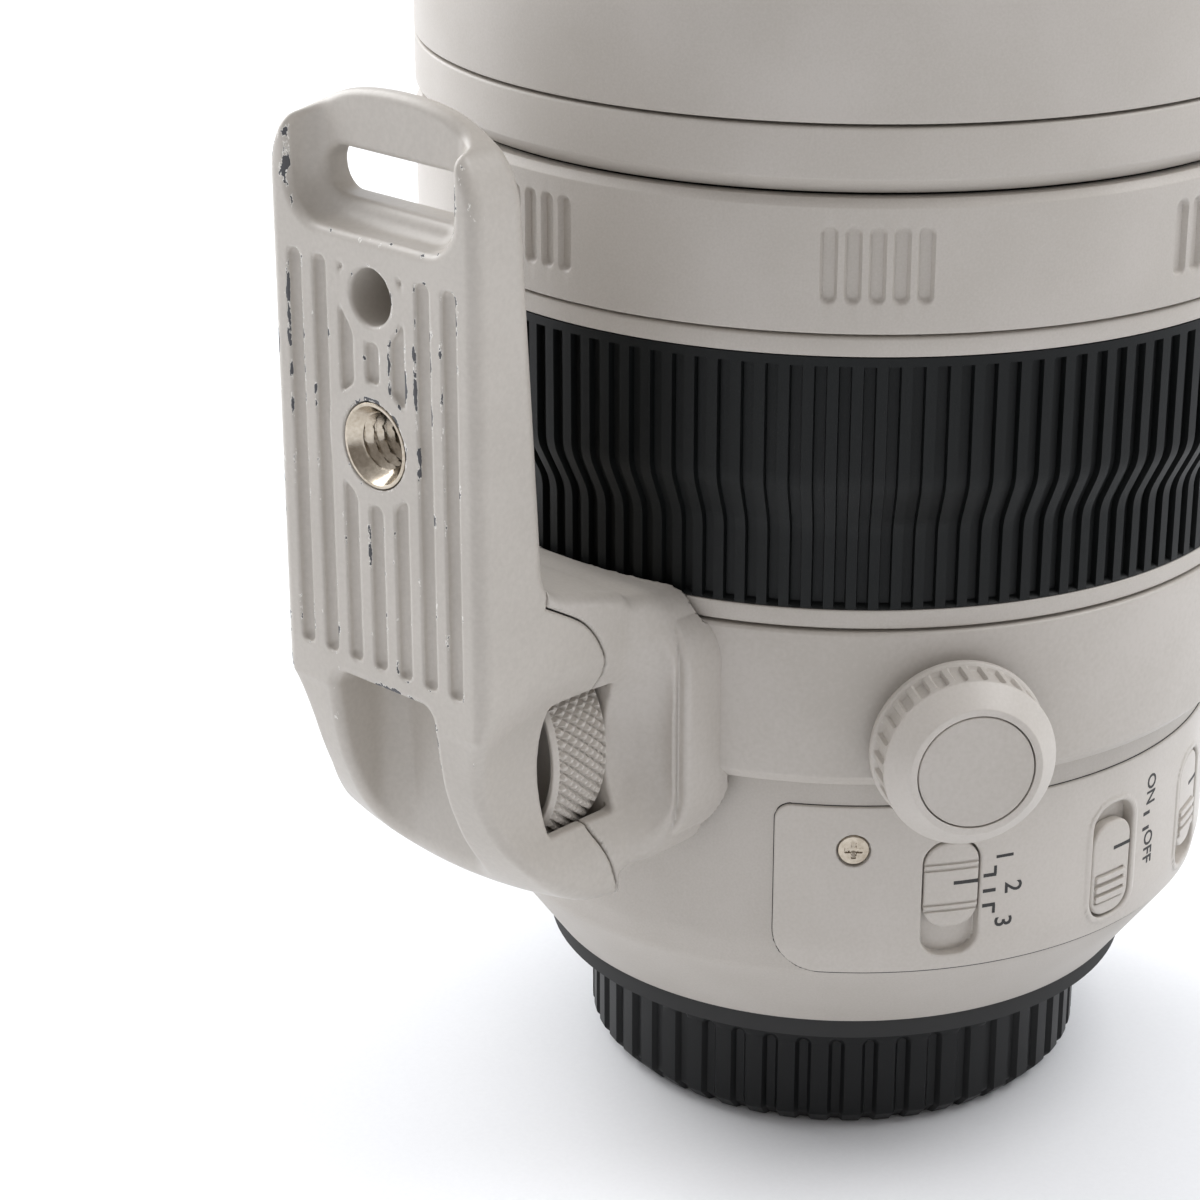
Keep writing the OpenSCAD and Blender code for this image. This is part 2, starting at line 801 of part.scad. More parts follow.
// Metal bayonet mount
module mount_ring() {
    color("#b9b9b6")
        difference() {
            union() {
                ring(hub_in, flange_r, flange_z, flange_z + flange_t);
                ring(hub_in, hub_r, flange_z - hub_l, flange_z + cut);
                for (i = [0:2])
                    sector(hub_r - fit_gap, tab_r, flange_z - tab_drop - tab_t, flange_z - tab_drop,
                        120 * i + 60, 120 * i + 60 + tab_angle);
            }
            at_mount_screws() {
                translate([0, 0, -cut])
                    cylinder(r = mount_head_r + fit_gap, h = mount_head_l + cut);
                cylinder(r = mount_shank_r + fit_gap, h = flange_t + cut);
            }
        }
}

// Rubber seal round the flange
module mount_seal() {
    color("#161616")
        ring(seal_in, seal_r, flange_z + fit_gap, z_rear);
}

// Screws that hold the mount to the rear barrel
module mount_screws() {
    color("#8f8f8c")
        at_mount_screws() {
            translate([0, 0, fit_gap])
                cylinder(r = mount_head_r, h = mount_head_l - fit_gap);
            translate([0, 0, mount_head_l / 2])
                cylinder(r = mount_shank_r, h = mount_shank_l + mount_head_l / 2);
        }
}

// Block that carries the electrical contacts
module contact_block() {
    reach = contact_step * (contact_count + 1) / 2;
    color("#1f1f20")
        sector(contact_ring - contact_wall, hub_in - fit_gap, contact_z, rear_cell_z - fit_gap,
            180 - reach, 180 + reach);
}

// Row of gilt contacts
module contact_pins() {
    color("#c8a24a")
        for (i = [0:contact_count - 1])
            rotate(90 + contact_step * (i - (contact_count - 1) / 2))
                translate([contact_ring, 0, contact_z - contact_pin_h])
                    cylinder(r = contact_pin_r, h = contact_pin_h, $fn = 24);
}

// Cell of the rear lens
module rear_cell() {
    color("#202021") {
        ring(rear_cell_in, rear_cell_r, rear_cell_z, rear_cell_end);
        ring(rear_cell_r - cut, hub_r, z_rear, z_rear + rear_cell_flange_t);
    }
}

// Rear lens
module rear_element() {
    glass(rear_cell_in - fit_gap, (rear_cell_z + rear_cell_end) / 2, rear_glass);
}

// Rear barrel, with the seat of the switch panel
module rear_barrel() {
    color("#dcd8cf")
        difference() {
            union() {
                rotate_extrude()
                    polygon([[floor_bore, z_rear], [rear_edge_r, z_rear],
                        [rear_shoulder_r, z_rear + rear_shoulder_h], [rear_r, z_rear + rear_taper_h],
                        [rear_r, z_rear_end], [rear_in, z_rear_end], [rear_in, z_rear + rear_taper_h],
                        [rear_shoulder_r - rear_wall, z_rear + rear_shoulder_h],
                        [rear_floor_r, z_rear + rear_floor_t],
                        [floor_bore, z_rear + rear_floor_t]]);
                for (i = [0:2])
                    rotate(120 * i)
                        translate([board_boss_ring, 0, z_rear + cut])
                            cylinder(r = board_boss_r, h = main_board_z - z_rear - cut);
            }
            panel_blank(panel_in, rear_r + 2 * cut, fit_gap);
            for (i = [0:3])
                sector(rear_in - stem_depth, rear_r, slot_z + stem_room, slot_z + slot_h - stem_room,
                    slot_angle(i) - span(stem_w / 2 + run_gap), slot_angle(i) + span(stem_w / 2 + run_gap));
            at_panel_screws()
                translate([0, 0, rear_in - cut])
                    cylinder(r = panel_screw_r / 2 + fit_gap, h = 2 * rear_wall);
            at_mount_screws()
                cylinder(r = mount_shank_r + fit_gap, h = mount_head_l + mount_shank_l + fit_gap);
        }
}

// Places a child at each panel screw, with its Z pointing outwards
module at_panel_screws() {
    for (a = [panel_start + panel_screw_in, panel_end - panel_screw_in])
        outward(a, panel_screw_z)
            children();
}

// Curved switch panel
module switch_panel() {
    color("#d6d2c9")
        difference() {
            panel_blank(panel_in + fit_gap, panel_r, 0);
            for (i = [0:3])
                sector(panel_in - cut, panel_r + cut, slot_z, slot_z + slot_h,
                    slot_angle(i) - span(slot_w / 2), slot_angle(i) + span(slot_w / 2));
            at_panel_screws() {
                translate([0, 0, panel_in - cut])
                    cylinder(r = panel_screw_r / 2 + fit_gap, h = panel_t + 2 * cut);
                translate([0, 0, panel_r - panel_t / 2])
                    cylinder(r = panel_screw_r + fit_gap, h = panel_t);
            }
        }
}

// Cross-head screws of the switch panel
module panel_screws() {
    color("#a9a8a3")
        at_panel_screws()
            difference() {
                union() {
                    translate([0, 0, panel_r - panel_t / 2])
                        cylinder(r = panel_screw_r, h = panel_t / 2);
                    translate([0, 0, rear_in])
                        cylinder(r = panel_screw_r / 2, h = panel_r - panel_t / 4 - rear_in);
                }
                for (turn = [0, 90])
                    rotate(turn)
                        translate([-cross_l / 2, -cross_w / 2, panel_r - panel_t / 4])
                            cube([cross_l, cross_w, panel_t]);
            }
}

// Switch with three positions, at its upper position
module mode_switch() {
    slider(0, three_l, travel_three);
}

// Switch with two positions, at its lower position
module stabiliser_switch() {
    slider(1, two_l, 0);
}

// Switch with two positions, at its upper position
module focus_switch() {
    slider(2, two_l, travel_two);
}

// Switch with three positions, at its middle position
module range_switch() {
    slider(3, three_l, travel_three / 2);
}

// Curved board behind the switches, on two spacers
module switch_board() {
    a0 = slot_angle(0) - span(slot_w);
    a1 = slot_angle(3) + span(slot_w);
    color("#2f5a3a") {
        sector(board_r - board_t, board_r, slot_z, slot_z + slot_h, a0, a1);
        for (a = [slot_angle(0.5), slot_angle(2.5)])
            peg(a, slot_z + slot_h / 2, board_r - board_t / 2, rear_in - run_gap, board_post_r);
    }
}

// Ring board above the mount
module main_board() {
    color("#2f5a3a")
        ring(rear_cell_r + main_board_clear, rear_floor_r,
            main_board_z, main_board_z + main_board_t);
}

// Plate that closes the rear barrel and carries the guide barrel
module base_plate() {
    color("#3a3a3c")
        ring(shift_frame_r + shift_travel, rear_in - fit_gap, base_z, base_z + base_t);
}

// Fixed plate of the stabiliser, hung from the base plate on posts
module stabiliser_base() {
    color("#3a3a3c") {
        ring(shift_bore, shift_post_ring + shift_post_r + shift_post_edge, shift_z, shift_z + shift_plate_t);
        for (a = [30, 150, 270])
            rotate(a)
                translate([shift_post_ring, 0, shift_z + cut])
                    cylinder(r = shift_post_r, h = base_z - shift_z - cut);
    }
}

// Stabiliser frame that shifts in X
module stabiliser_frame() {
    z0 = shift_z + shift_plate_t + run_gap;
    color("#56565a")
        ring(shift_bore, shift_frame_r, z0, z0 + shift_frame_t);
}

// Stabiliser cell that shifts in Y on the frame
module stabiliser_cell() {
    z0 = shift_z + shift_plate_t + shift_frame_t + 2 * run_gap;
    color("#202021")
        ring(shift_cell_r - shift_cell_wall, shift_cell_r, z0, z0 + shift_cell_l);
}

// Stabiliser lens
module stabiliser_element() {
    z0 = shift_z + shift_plate_t + shift_frame_t + 2 * run_gap;
    glass(shift_cell_r - shift_cell_wall - fit_gap, z0 + shift_cell_l / 2, shift_glass);
}

// Fixed barrel with straight slots
module guide_barrel() {
    color("#606064")
        difference() {
            ring(guide_in, guide_r, guide_z, guide_end);
            for (a = roller_angles) {
                guide_slot(front_pin_a + a, front_pin_z, front_travel);
                guide_slot(zoom_pin_a + a, zoom_pin_z, zoom_travel);
            }
        }
}

// Fixed main barrel, with a slot for the zoom key
module main_barrel() {
    color("#4a4a4c")
        difference() {
            ring(barrel_in, barrel_r, z_rear_end, main_end);
            sector(barrel_in - cut, barrel_r + cut, key_z - run_gap, key_z + key_h + run_gap,
                key_angle - key_span / 2 - key_room, key_angle + zoom_turn + key_span / 2 + key_room);
        }
}

// Fixed sleeve that carries the front rings
module front_sleeve() {
    color("#4a4a4c")
        ring(sleeve_in, sleeve_r, z_torque, z_trim);
}

// Fixed band in front of the torque ring, with a bevelled edge
module index_band() {
    color("#dcd8cf")
        rotate_extrude()
            polygon([[shell_in, z_index], [body_r - index_bevel, z_index], [body_r, z_index + index_bevel],
                [body_r, z_index_end], [shell_in, z_index_end]]);
}

// Fixed front shell
module front_shell() {
    color("#dcd8cf")
        ring(shell_in, body_r, z_shell, z_shell_end);
}

// Ring that ends the fixed barrel, with a lip over the dust seal
module trim_ring() {
    color("#dcd8cf")
        rotate_extrude()
            polygon([[sleeve_in, z_trim], [body_r, z_trim], [body_r, z_trim_end - trim_lip],
                [body_r - trim_lip, z_trim_end], [barrel_in + fit_gap, z_trim_end],
                [barrel_in + fit_gap, z_trim_end - trim_lip], [sleeve_in, z_trim_end - trim_lip]]);
}

// Felt seal round the sliding tube
module dust_seal() {
    color("#1a1a1a")
        ring(barrel_in, barrel_r, main_end, z_trim_end - trim_lip - fit_gap);
}

// Two plates that hold the guide rods
module rod_plates() {
    color("#3a3a3c")
        for (z = [rod_plate_z, rod_z + rod_l])
            ring(focus_cell_r - rod_plate_ledge, guide_in - fit_gap, z, z + rod_plate_t);
}

// Two rods that guide the focus group
module guide_rods() {
    color("#b5b5b2")
        for (a = rod_angles)
            rotate(a - 90)
                translate([rod_ring, 0, rod_z])
                    cylinder(r = rod_r, h = rod_l);
}

// Linear motor of the focus group
module focus_motor() {
    color("#27272a")
        translate([-motor_w / 2, focus_cell_r + motor_gap, rod_z])
            cube([motor_w, guide_in - focus_cell_r - motor_gap - motor_margin, focus_cell_l + focus_travel]);
}

// Iris in its sealed housing
module iris_unit() {
    z0 = rod_z + rod_l + rod_plate_t;
    color("#232324")
        rotate_extrude()
            polygon([[iris_open_r, z0 + blade_z], [iris_inner_r, z0 + blade_z], [iris_inner_r, z0],
                [focus_cell_r + iris_rim, z0], [focus_cell_r + iris_rim, z0 + iris_t],
                [iris_inner_r, z0 + iris_t], [iris_inner_r, z0 + blade_z + blade_t],
                [iris_open_r, z0 + blade_z + blade_t]]);
}

// Focus cell with bushes on the guide rods
module focus_cell() {
    z1 = focus_cell_z + focus_cell_l;
    color("#202021")
        difference() {
            union() {
                ring(focus_cell_r - focus_cell_wall, focus_cell_r, focus_cell_z, z1);
                for (a = rod_angles)
                    rotate(a - 90)
                        translate([rod_ring, 0, focus_cell_z])
                            cylinder(r = rod_r + rod_bush_wall, h = focus_cell_l);
                for (a = rod_angles)
                    rotate(a - 90)
                        translate([focus_cell_r - cut, -rod_web_w / 2, focus_cell_z])
                            cube([rod_ring - focus_cell_r + cut, rod_web_w, focus_cell_l]);
            }
            for (a = rod_angles)
                rotate(a - 90)
                    translate([rod_ring, 0, focus_cell_z - cut])
                        cylinder(r = rod_r + fit_gap, h = focus_cell_l + 2 * cut);
        }
}

// Focus lens
module focus_element() {
    glass(focus_cell_r - focus_cell_wall - fit_gap, focus_cell_z + focus_cell_l / 2, focus_glass);
}

// Zoom cell
module zoom_cell() {
    color("#202021")
        ring(zoom_cell_in, cell_r, zoom_cell_z, zoom_cell_z + zoom_cell_l);
}

// Rollers of the zoom cell
module zoom_rollers() {
    color("#b5b5b2")
        for (a = roller_angles)
            peg(zoom_pin_a + a, zoom_pin_z, cell_r + fit_gap, cam_r - fit_gap, roller_r);
}

// Zoom lens
module zoom_element() {
    glass(zoom_cell_in - fit_gap, zoom_cell_z + zoom_cell_l / 2, zoom_glass);
}

// Cam barrel with sloping slots, turned by the zoom ring
module cam_barrel() {
    color("#77777b")
        difference() {
            ring(cam_in, cam_r, cam_z, guide_end);
            for (a = roller_angles) {
                cam_slot(front_pin_a + a, front_pin_z, front_travel);
                cam_slot(zoom_pin_a + a, zoom_pin_z, zoom_travel);
            }
        }
}

// Key that ties the cam barrel to the zoom ring
module zoom_key() {
    color("#b5b5b2")
        sector(cam_r + fit_gap, turn_in - fit_gap, key_z, key_z + key_h,
            key_angle - key_span / 2, key_angle + key_span / 2);
}

// Outline of the zoom ring's grip surface, at an inset from it
function zoom_outline(inset) = [
    [zoom_rear_r - inset, z_zoom + zoom_lip],
    [zoom_rear_r - inset, z_zoom + slope_rise],
    [zoom_front_r - inset, z_zoom + slope_rise + slope_l],
    [zoom_front_r - inset, z_zoom_end - zoom_lip]];

// Zoom ring, with a pale lip at each end
module zoom_sleeve() {
    color("#dcd8cf")
        rotate_extrude()
            polygon(concat([[turn_in, z_zoom], [zoom_rear_r, z_zoom], [zoom_rear_r, z_zoom + zoom_lip]],
                zoom_outline(grip_t),
                [[zoom_front_r, z_zoom_end - zoom_lip], [zoom_front_r, z_zoom_end], [turn_in, z_zoom_end]]));
}

// Rubber grip of the zoom ring
module zoom_grip() {
    inner = zoom_outline(grip_t - fit_gap);
    color("#222223")
        rotate_extrude()
            polygon(concat(zoom_outline(0), [for (i = [3:-1:0]) inner[i]]));
}

// Torque ring, with groups of finger grooves
module torque_ring() {
    groove_z = z_torque + torque_margin + torque_groove_w / 2;
    groove_l = torque_l - 2 * torque_margin - torque_groove_w;
    start = torque_first - 90 - torque_groove_pitch * (torque_grooves - 1) / 2;
    color("#dcd8cf")
        difference() {
            ring(ring_in, body_r, z_torque, z_torque_end);
            for (g = [0:torque_groups - 1], k = [0:torque_grooves - 1])
                rotate(start + 360 / torque_groups * g + torque_groove_pitch * k)
                    translate([body_r - torque_groove_depth, -torque_groove_w / 2, groove_z])
                        cube([2, torque_groove_w, groove_l]);
        }
}

// Focus ring
module focus_sleeve() {
    color("#2a2a2b")
        grip_ring(ring_in, body_r, grip_t - run_gap, zoom_lip / 2, z_focus, z_focus_end);
}

// Rubber grip of the focus ring
module focus_grip() {
    color("#222223")
        ring(body_r - grip_t + run_gap + fit_gap, body_r, z_focus + zoom_lip / 2, z_focus_end - zoom_lip / 2);
}

// Control ring
module control_ring() {
    color("#9a9792")
        ring(ring_in, body_r, z_control, z_control_end);
}

// Sliding front tube
module front_tube() {
    color("#dcd8cf")
        ring(tube_in, tube_r, tube_z, tube_end);
}

// Rollers of the front tube
module front_rollers() {
    reach = sqrt(pow(tube_in, 2) - pow(roller_r, 2)) - fit_gap;
    color("#b5b5b2")
        for (a = roller_angles)
            peg(front_pin_a + a, front_pin_z, guide_in + run_gap, reach, roller_r);
}

// Nose, with the filter thread and the hood bayonet
module nose() {
    color("#dcd8cf") {
        rotate_extrude()
            polygon([[tube_r + fit_gap, z_nose], [nose_r, z_nose], [nose_r, hood_z],
                [nose_r - hood_depth, hood_z], [nose_r - hood_depth, z_nose_end],
                [filter_r, z_nose_end], [filter_r, filter_z],
                [nose_seat_r, filter_z], [nose_seat_r, front_cell_z], [tube_in - nose_ledge, front_cell_z],
                [tube_in - nose_ledge, tube_end], [tube_r + fit_gap, tube_end]]);
        for (i = [0:2])
            sector(nose_r - hood_depth - fit_gap, nose_r, z_nose_end - hood_l / 2, z_nose_end - hood_l / 4,
                120 * i + hood_lug_start, 120 * i + hood_lug_end);
    }
}

// Cell of the front lenses
module front_cell() {
    color("#202021")
        ring(front_cell_in, front_cell_r, front_cell_z, front_cell_end);
}

// Front lenses
module front_elements() {
    glass(front_cell_in - fit_gap, front_cell_end - front_glass_drop, front_glass);
    glass(front_cell_in - fit_gap, front_cell_z + second_glass_rise, second_glass);
}

// Black ring round the front lens
module front_ring() {
    color("#1c1c1d")
        rotate_extrude()
            polygon([[front_cell_in - front_ring_slope, front_cell_end], [front_cell_r, front_cell_end],
                [front_cell_r, filter_z], [front_cell_in + front_ring_slope, filter_z]]);
}

// Inner side outline of the pedestal's visor, shared with the foot
module visor_outline(gap, rise) {
    polygon([[-pad_y + pad_t, pad_top + rise], [-visor_y - gap, visor_top + rise],
        [-visor_y - gap, visor_top - visor_t - gap], [-visor_mid_y - gap, visor_mid_z - gap],
        [-neck_y, visor_low_z - gap], [-pad_y + pad_t, visor_low_z - gap]]);
}

// Hollow for the thumbwheel, its windows and the thumb hollows beside them
module wheel_space() {
    peg(0, wheel_z, neck_y, wheel_end + run_gap, wheel_cavity_r);
    translate([-foot_w, -wheel_end - run_gap, wheel_z - window_h / 2])
        cube([foot_w * 2, wheel_t + 2 * run_gap, window_h]);
    peg(0, wheel_z, neck_y - wheel_screw_l - fit_gap, wheel_end + wheel_stub + run_gap,
        wheel_screw_r + fit_gap);
    for (side = [-1, 1])
        translate([side * (foot_w / 2 - dish_bite + dish_r), -(neck_y + wheel_end) / 2, wheel_z])
            sphere(r = dish_r);
}

// Tripod collar with its pedestal
module collar() {
    color("#dcd8cf")
        difference() {
            union() {
                rotate_extrude()
                    polygon([[turn_in, z_collar], [collar_r - collar_bevel, z_collar],
                        [collar_r, z_collar + collar_bevel], [collar_r, z_collar_end],
                        [turn_in, z_collar_end]]);
                peg(knob_angle, knob_z, barrel_r, boss_top, boss_r);
                pedestal();
            }
            cylinder(r = turn_in, h = z_nose);
            cylinder(r = pad_in_rear, h = z_collar);
            translate([0, 0, z_collar_end])
                cylinder(r = pad_in_front, h = z_nose);
            peg(knob_angle, knob_z, 0, pocket_top, shoe_r + run_gap);
            peg(knob_angle, knob_z, 0, knob_back, knob_screw_r + knob_screw_gap);
            wheel_space();
        }
}

// Pedestal that carries the foot
module pedestal() {
    along(pad_y - pad_w / 4, pad_y)
        translate([0, pad_z])
            round_rect(pad_w, pad_top - pad_z, pad_corner);
    difference() {
        along(pad_y - cut, neck_y)
            translate([0, pad_z])
                round_rect(foot_w + 2 * neck_l, pad_top - pad_z, pad_corner / 2);
        for (side = [-1, 1])
            translate([side * (foot_w / 2 + neck_l), -neck_y, pad_z - cut])
                cylinder(r = neck_l, h = pad_top - pad_z + 2 * cut);
    }
    across(foot_w)
        visor_outline(0, 0);
}

// Side outline of the foot
module foot_outline() {
    difference() {
        union() {
            translate([-foot_y, face_z])
                square([foot_t, foot_l - foot_nose]);
            translate([-foot_y + foot_nose, face_z])
                square([foot_t - foot_nose, foot_l]);
            translate([-foot_y + foot_nose, foot_top - foot_nose])
                circle(r = foot_nose);
            translate([-foot_y, face_z])
                square([foot_y - visor_y, visor_top - visor_t - face_z]);
            difference() {
                translate([-neck_y, wheel_z + arm_rise])
                    circle(r = arm_r);
                translate([-neck_y, 0])
                    square([neck_y, foot_top]);
                translate([-visor_y, visor_top - visor_t])
                    square(arm_r);
            }
        }
        visor_outline(fit_gap, 4 * cut);
        translate([-plate_y, foot_top - foot_nose])
            square([foot_t, foot_nose]);
        translate([-plate_y, visor_top])
            square([foot_t, foot_l]);
    }
}

// Grooves of the foot's face, with plain lands round the bush and the pin hole
module face_grooves() {
    difference() {
        along(foot_y - groove_depth, foot_y + cut)
            for (i = [0:groove_count - 1])
                translate([groove_pitch * (i - (groove_count - 1) / 2), face_z + groove_margin])
                    round_rect(groove_w, groove_l, groove_w / 2 - end_ease);
        peg(0, bush_z, foot_y - foot_t, foot_y + 2 * cut, bush_land);
        peg(0, pin_z, foot_y - foot_t, foot_y + 2 * cut, pin_land);
    }
}

// Tripod foot
module foot() {
    color("#d3cfc6")
        difference() {
            intersection() {
                across(foot_w)
                    foot_outline();
                along(neck_y - cut, foot_y + cut)
                    round_rect(foot_w, foot_top, foot_corner);
            }
            face_grooves();
            peg(0, bush_z, foot_y - bush_l, foot_y + cut, bush_r + fit_gap);
            peg(0, pin_z, foot_y - pin_depth, foot_y + cut, pin_r);
            translate([scoop_wall - foot_w / 2, -foot_y - cut, scoop_z])
                cube([foot_w - 2 * scoop_wall, scoop_depth + cut, foot_l]);
            along(neck_y, foot_y + cut)
                translate([0, strap_z])
                    round_rect(strap_w, strap_h, strap_h / 2 - end_ease);
            translate([hollow_wall - foot_w / 2, -foot_y - cut, 0])
                cube([foot_w - 2 * hollow_wall, hollow_depth + cut, face_z]);
            wheel_space();
        }
}

// Threaded bush in the foot, as a plain bore
module tripod_bush() {
    color("#c9c9c6")
        outward(0, bush_z)
            translate([0, 0, foot_y - bush_l])
                difference() {
                    cylinder(r = bush_r, h = bush_l);
                    translate([0, 0, -cut])
                        cylinder(r = bush_bore_r, h = bush_l + 2 * cut);
                }
}

// Ridged knob that locks the collar
module lock_knob() {
    color("#dcd8cf")
        outward(knob_angle, knob_z)
            difference() {
                union() {
                    translate([0, 0, knob_back])
                        cylinder(r = knob_r, h = knob_l - knob_bevel);
                    translate([0, 0, knob_face - knob_bevel])
                        cylinder(r1 = knob_r - ridge_r / 2, r2 = disc_r + knob_rim, h = knob_bevel);
                    translate([0, 0, pocket_top + fit_gap])
                        cylinder(r = knob_screw_r, h = knob_back - pocket_top);
                }
                translate([0, 0, knob_face - disc_t])
                    cylinder(r = disc_r + fit_gap, h = disc_t + cut);
                for (i = [0:knob_ridges - 1])
                    rotate(360 / knob_ridges * i)
                        translate([knob_r + ridge_out, 0, knob_back - cut])
                            cylinder(r = ridge_r, h = knob_l + 2 * cut);
            }
}

// Disc let into the knob's face
module knob_disc() {
    color("#dcd8cf")
        peg(knob_angle, knob_z, knob_face - disc_t, knob_face, disc_r);
}

// Shoe that the knob presses on the main barrel
module brake_shoe() {
    color("#8c8c88")
        difference() {
            peg(knob_angle, knob_z, 0, shoe_out, shoe_r);
            cylinder(r = shoe_in, h = z_zoom);
        }
}

// Thumbwheel whose screw holds the foot on the pedestal
module thumbwheel() {
    color("#c4c0b8") {
        peg(0, wheel_z, wheel_y, wheel_end, wheel_r);
        peg(0, wheel_z, neck_y - wheel_screw_l, wheel_end + wheel_stub, wheel_screw_r);
    }
}

rear_cap();
mount_ring();
mount_seal();
mount_screws();
contact_block();
contact_pins();
rear_cell();
rear_element();
rear_barrel();
switch_panel();
panel_screws();
mode_switch();
stabiliser_switch();
focus_switch();
range_switch();
switch_board();
main_board();
base_plate();
stabiliser_base();
stabiliser_frame();
stabiliser_cell();
stabiliser_element();
guide_barrel();
main_barrel();
front_sleeve();
index_band();
front_shell();
trim_ring();
dust_seal();
rod_plates();
guide_rods();
focus_motor();
iris_unit();
focus_cell();
focus_element();
zoom_cell();
zoom_rollers();
zoom_element();
cam_barrel();
zoom_key();
zoom_sleeve();
zoom_grip();
torque_ring();
focus_sleeve();
focus_grip();
control_ring();
front_tube();
front_rollers();
nose();
front_cell();
front_elements();
front_ring();
collar();
foot();
tripod_bush();
lock_knob();
knob_disc();
brake_shoe();
thumbwheel();
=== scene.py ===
"""Dresses the camera zoom lens with fine forms, finishes, light and a camera.

Sizes are in millimetres and become metres where a mesh is made. Angles round the lens are in degrees from -Y,
where the foot points, towards +X. A field is a signed distance in millimetres, negative inside the form.
"""

import json
import logging
import math
from collections.abc import Callable, Sequence
from dataclasses import dataclass
from enum import Enum
from functools import cache

import bmesh
import bpy
import numpy as np
from mathutils import Matrix, Vector


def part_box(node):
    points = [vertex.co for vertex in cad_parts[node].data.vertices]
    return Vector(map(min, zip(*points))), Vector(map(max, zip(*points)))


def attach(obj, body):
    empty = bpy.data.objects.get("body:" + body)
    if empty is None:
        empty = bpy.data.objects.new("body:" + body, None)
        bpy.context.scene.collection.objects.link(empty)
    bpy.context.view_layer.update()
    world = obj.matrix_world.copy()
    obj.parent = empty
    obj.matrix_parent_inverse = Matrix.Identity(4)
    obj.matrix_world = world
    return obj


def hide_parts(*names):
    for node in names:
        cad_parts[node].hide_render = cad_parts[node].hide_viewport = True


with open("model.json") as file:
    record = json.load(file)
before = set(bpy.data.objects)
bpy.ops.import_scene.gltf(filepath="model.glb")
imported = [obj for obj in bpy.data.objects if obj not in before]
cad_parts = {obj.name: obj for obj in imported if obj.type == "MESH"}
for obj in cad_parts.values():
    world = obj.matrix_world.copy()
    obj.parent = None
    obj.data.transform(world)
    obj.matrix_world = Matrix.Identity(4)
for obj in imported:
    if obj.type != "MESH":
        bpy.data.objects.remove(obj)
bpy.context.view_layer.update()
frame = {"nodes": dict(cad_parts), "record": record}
MM = 0.001
WELD = 0.0008
SLIVER = 0.0001
log = logging.getLogger("zoom_lens")

Outline = list[tuple[float, float]]
Field = Callable[[np.ndarray, np.ndarray, np.ndarray], np.ndarray]
Mesh = tuple[np.ndarray, np.ndarray]


def add_node(tree: bpy.types.NodeTree, kind: str, settings: dict | None = None,
             links: dict | None = None) -> bpy.types.Node:
    """Adds one node, with its settings and its inputs.

    Args:
        tree: Tree that gets the node.
        kind: Blender's type name for the node.
        settings: Values of the node's own properties.
        links: Input name or number, with a value or with the output socket that feeds it.

    Returns:
        The new node.
    """
    node = tree.nodes.new(kind)
    for key, value in (settings or {}).items():
        setattr(node, key, value)
    for key, value in (links or {}).items():
        if isinstance(value, bpy.types.NodeSocket):
            tree.links.new(value, node.inputs[key])
        else:
            node.inputs[key].default_value = value
    return node


def linear(code: str) -> tuple[float, ...]:
    """Turns an sRGB hex colour to a linear one."""
    parts = [int(code[i:i + 2], 16) / 255 for i in (1, 3, 5)]
    return (*(c / 12.92 if c <= 0.04045 else ((c + 0.055) / 1.055) ** 2.4 for c in parts), 1.0)


# Finishes


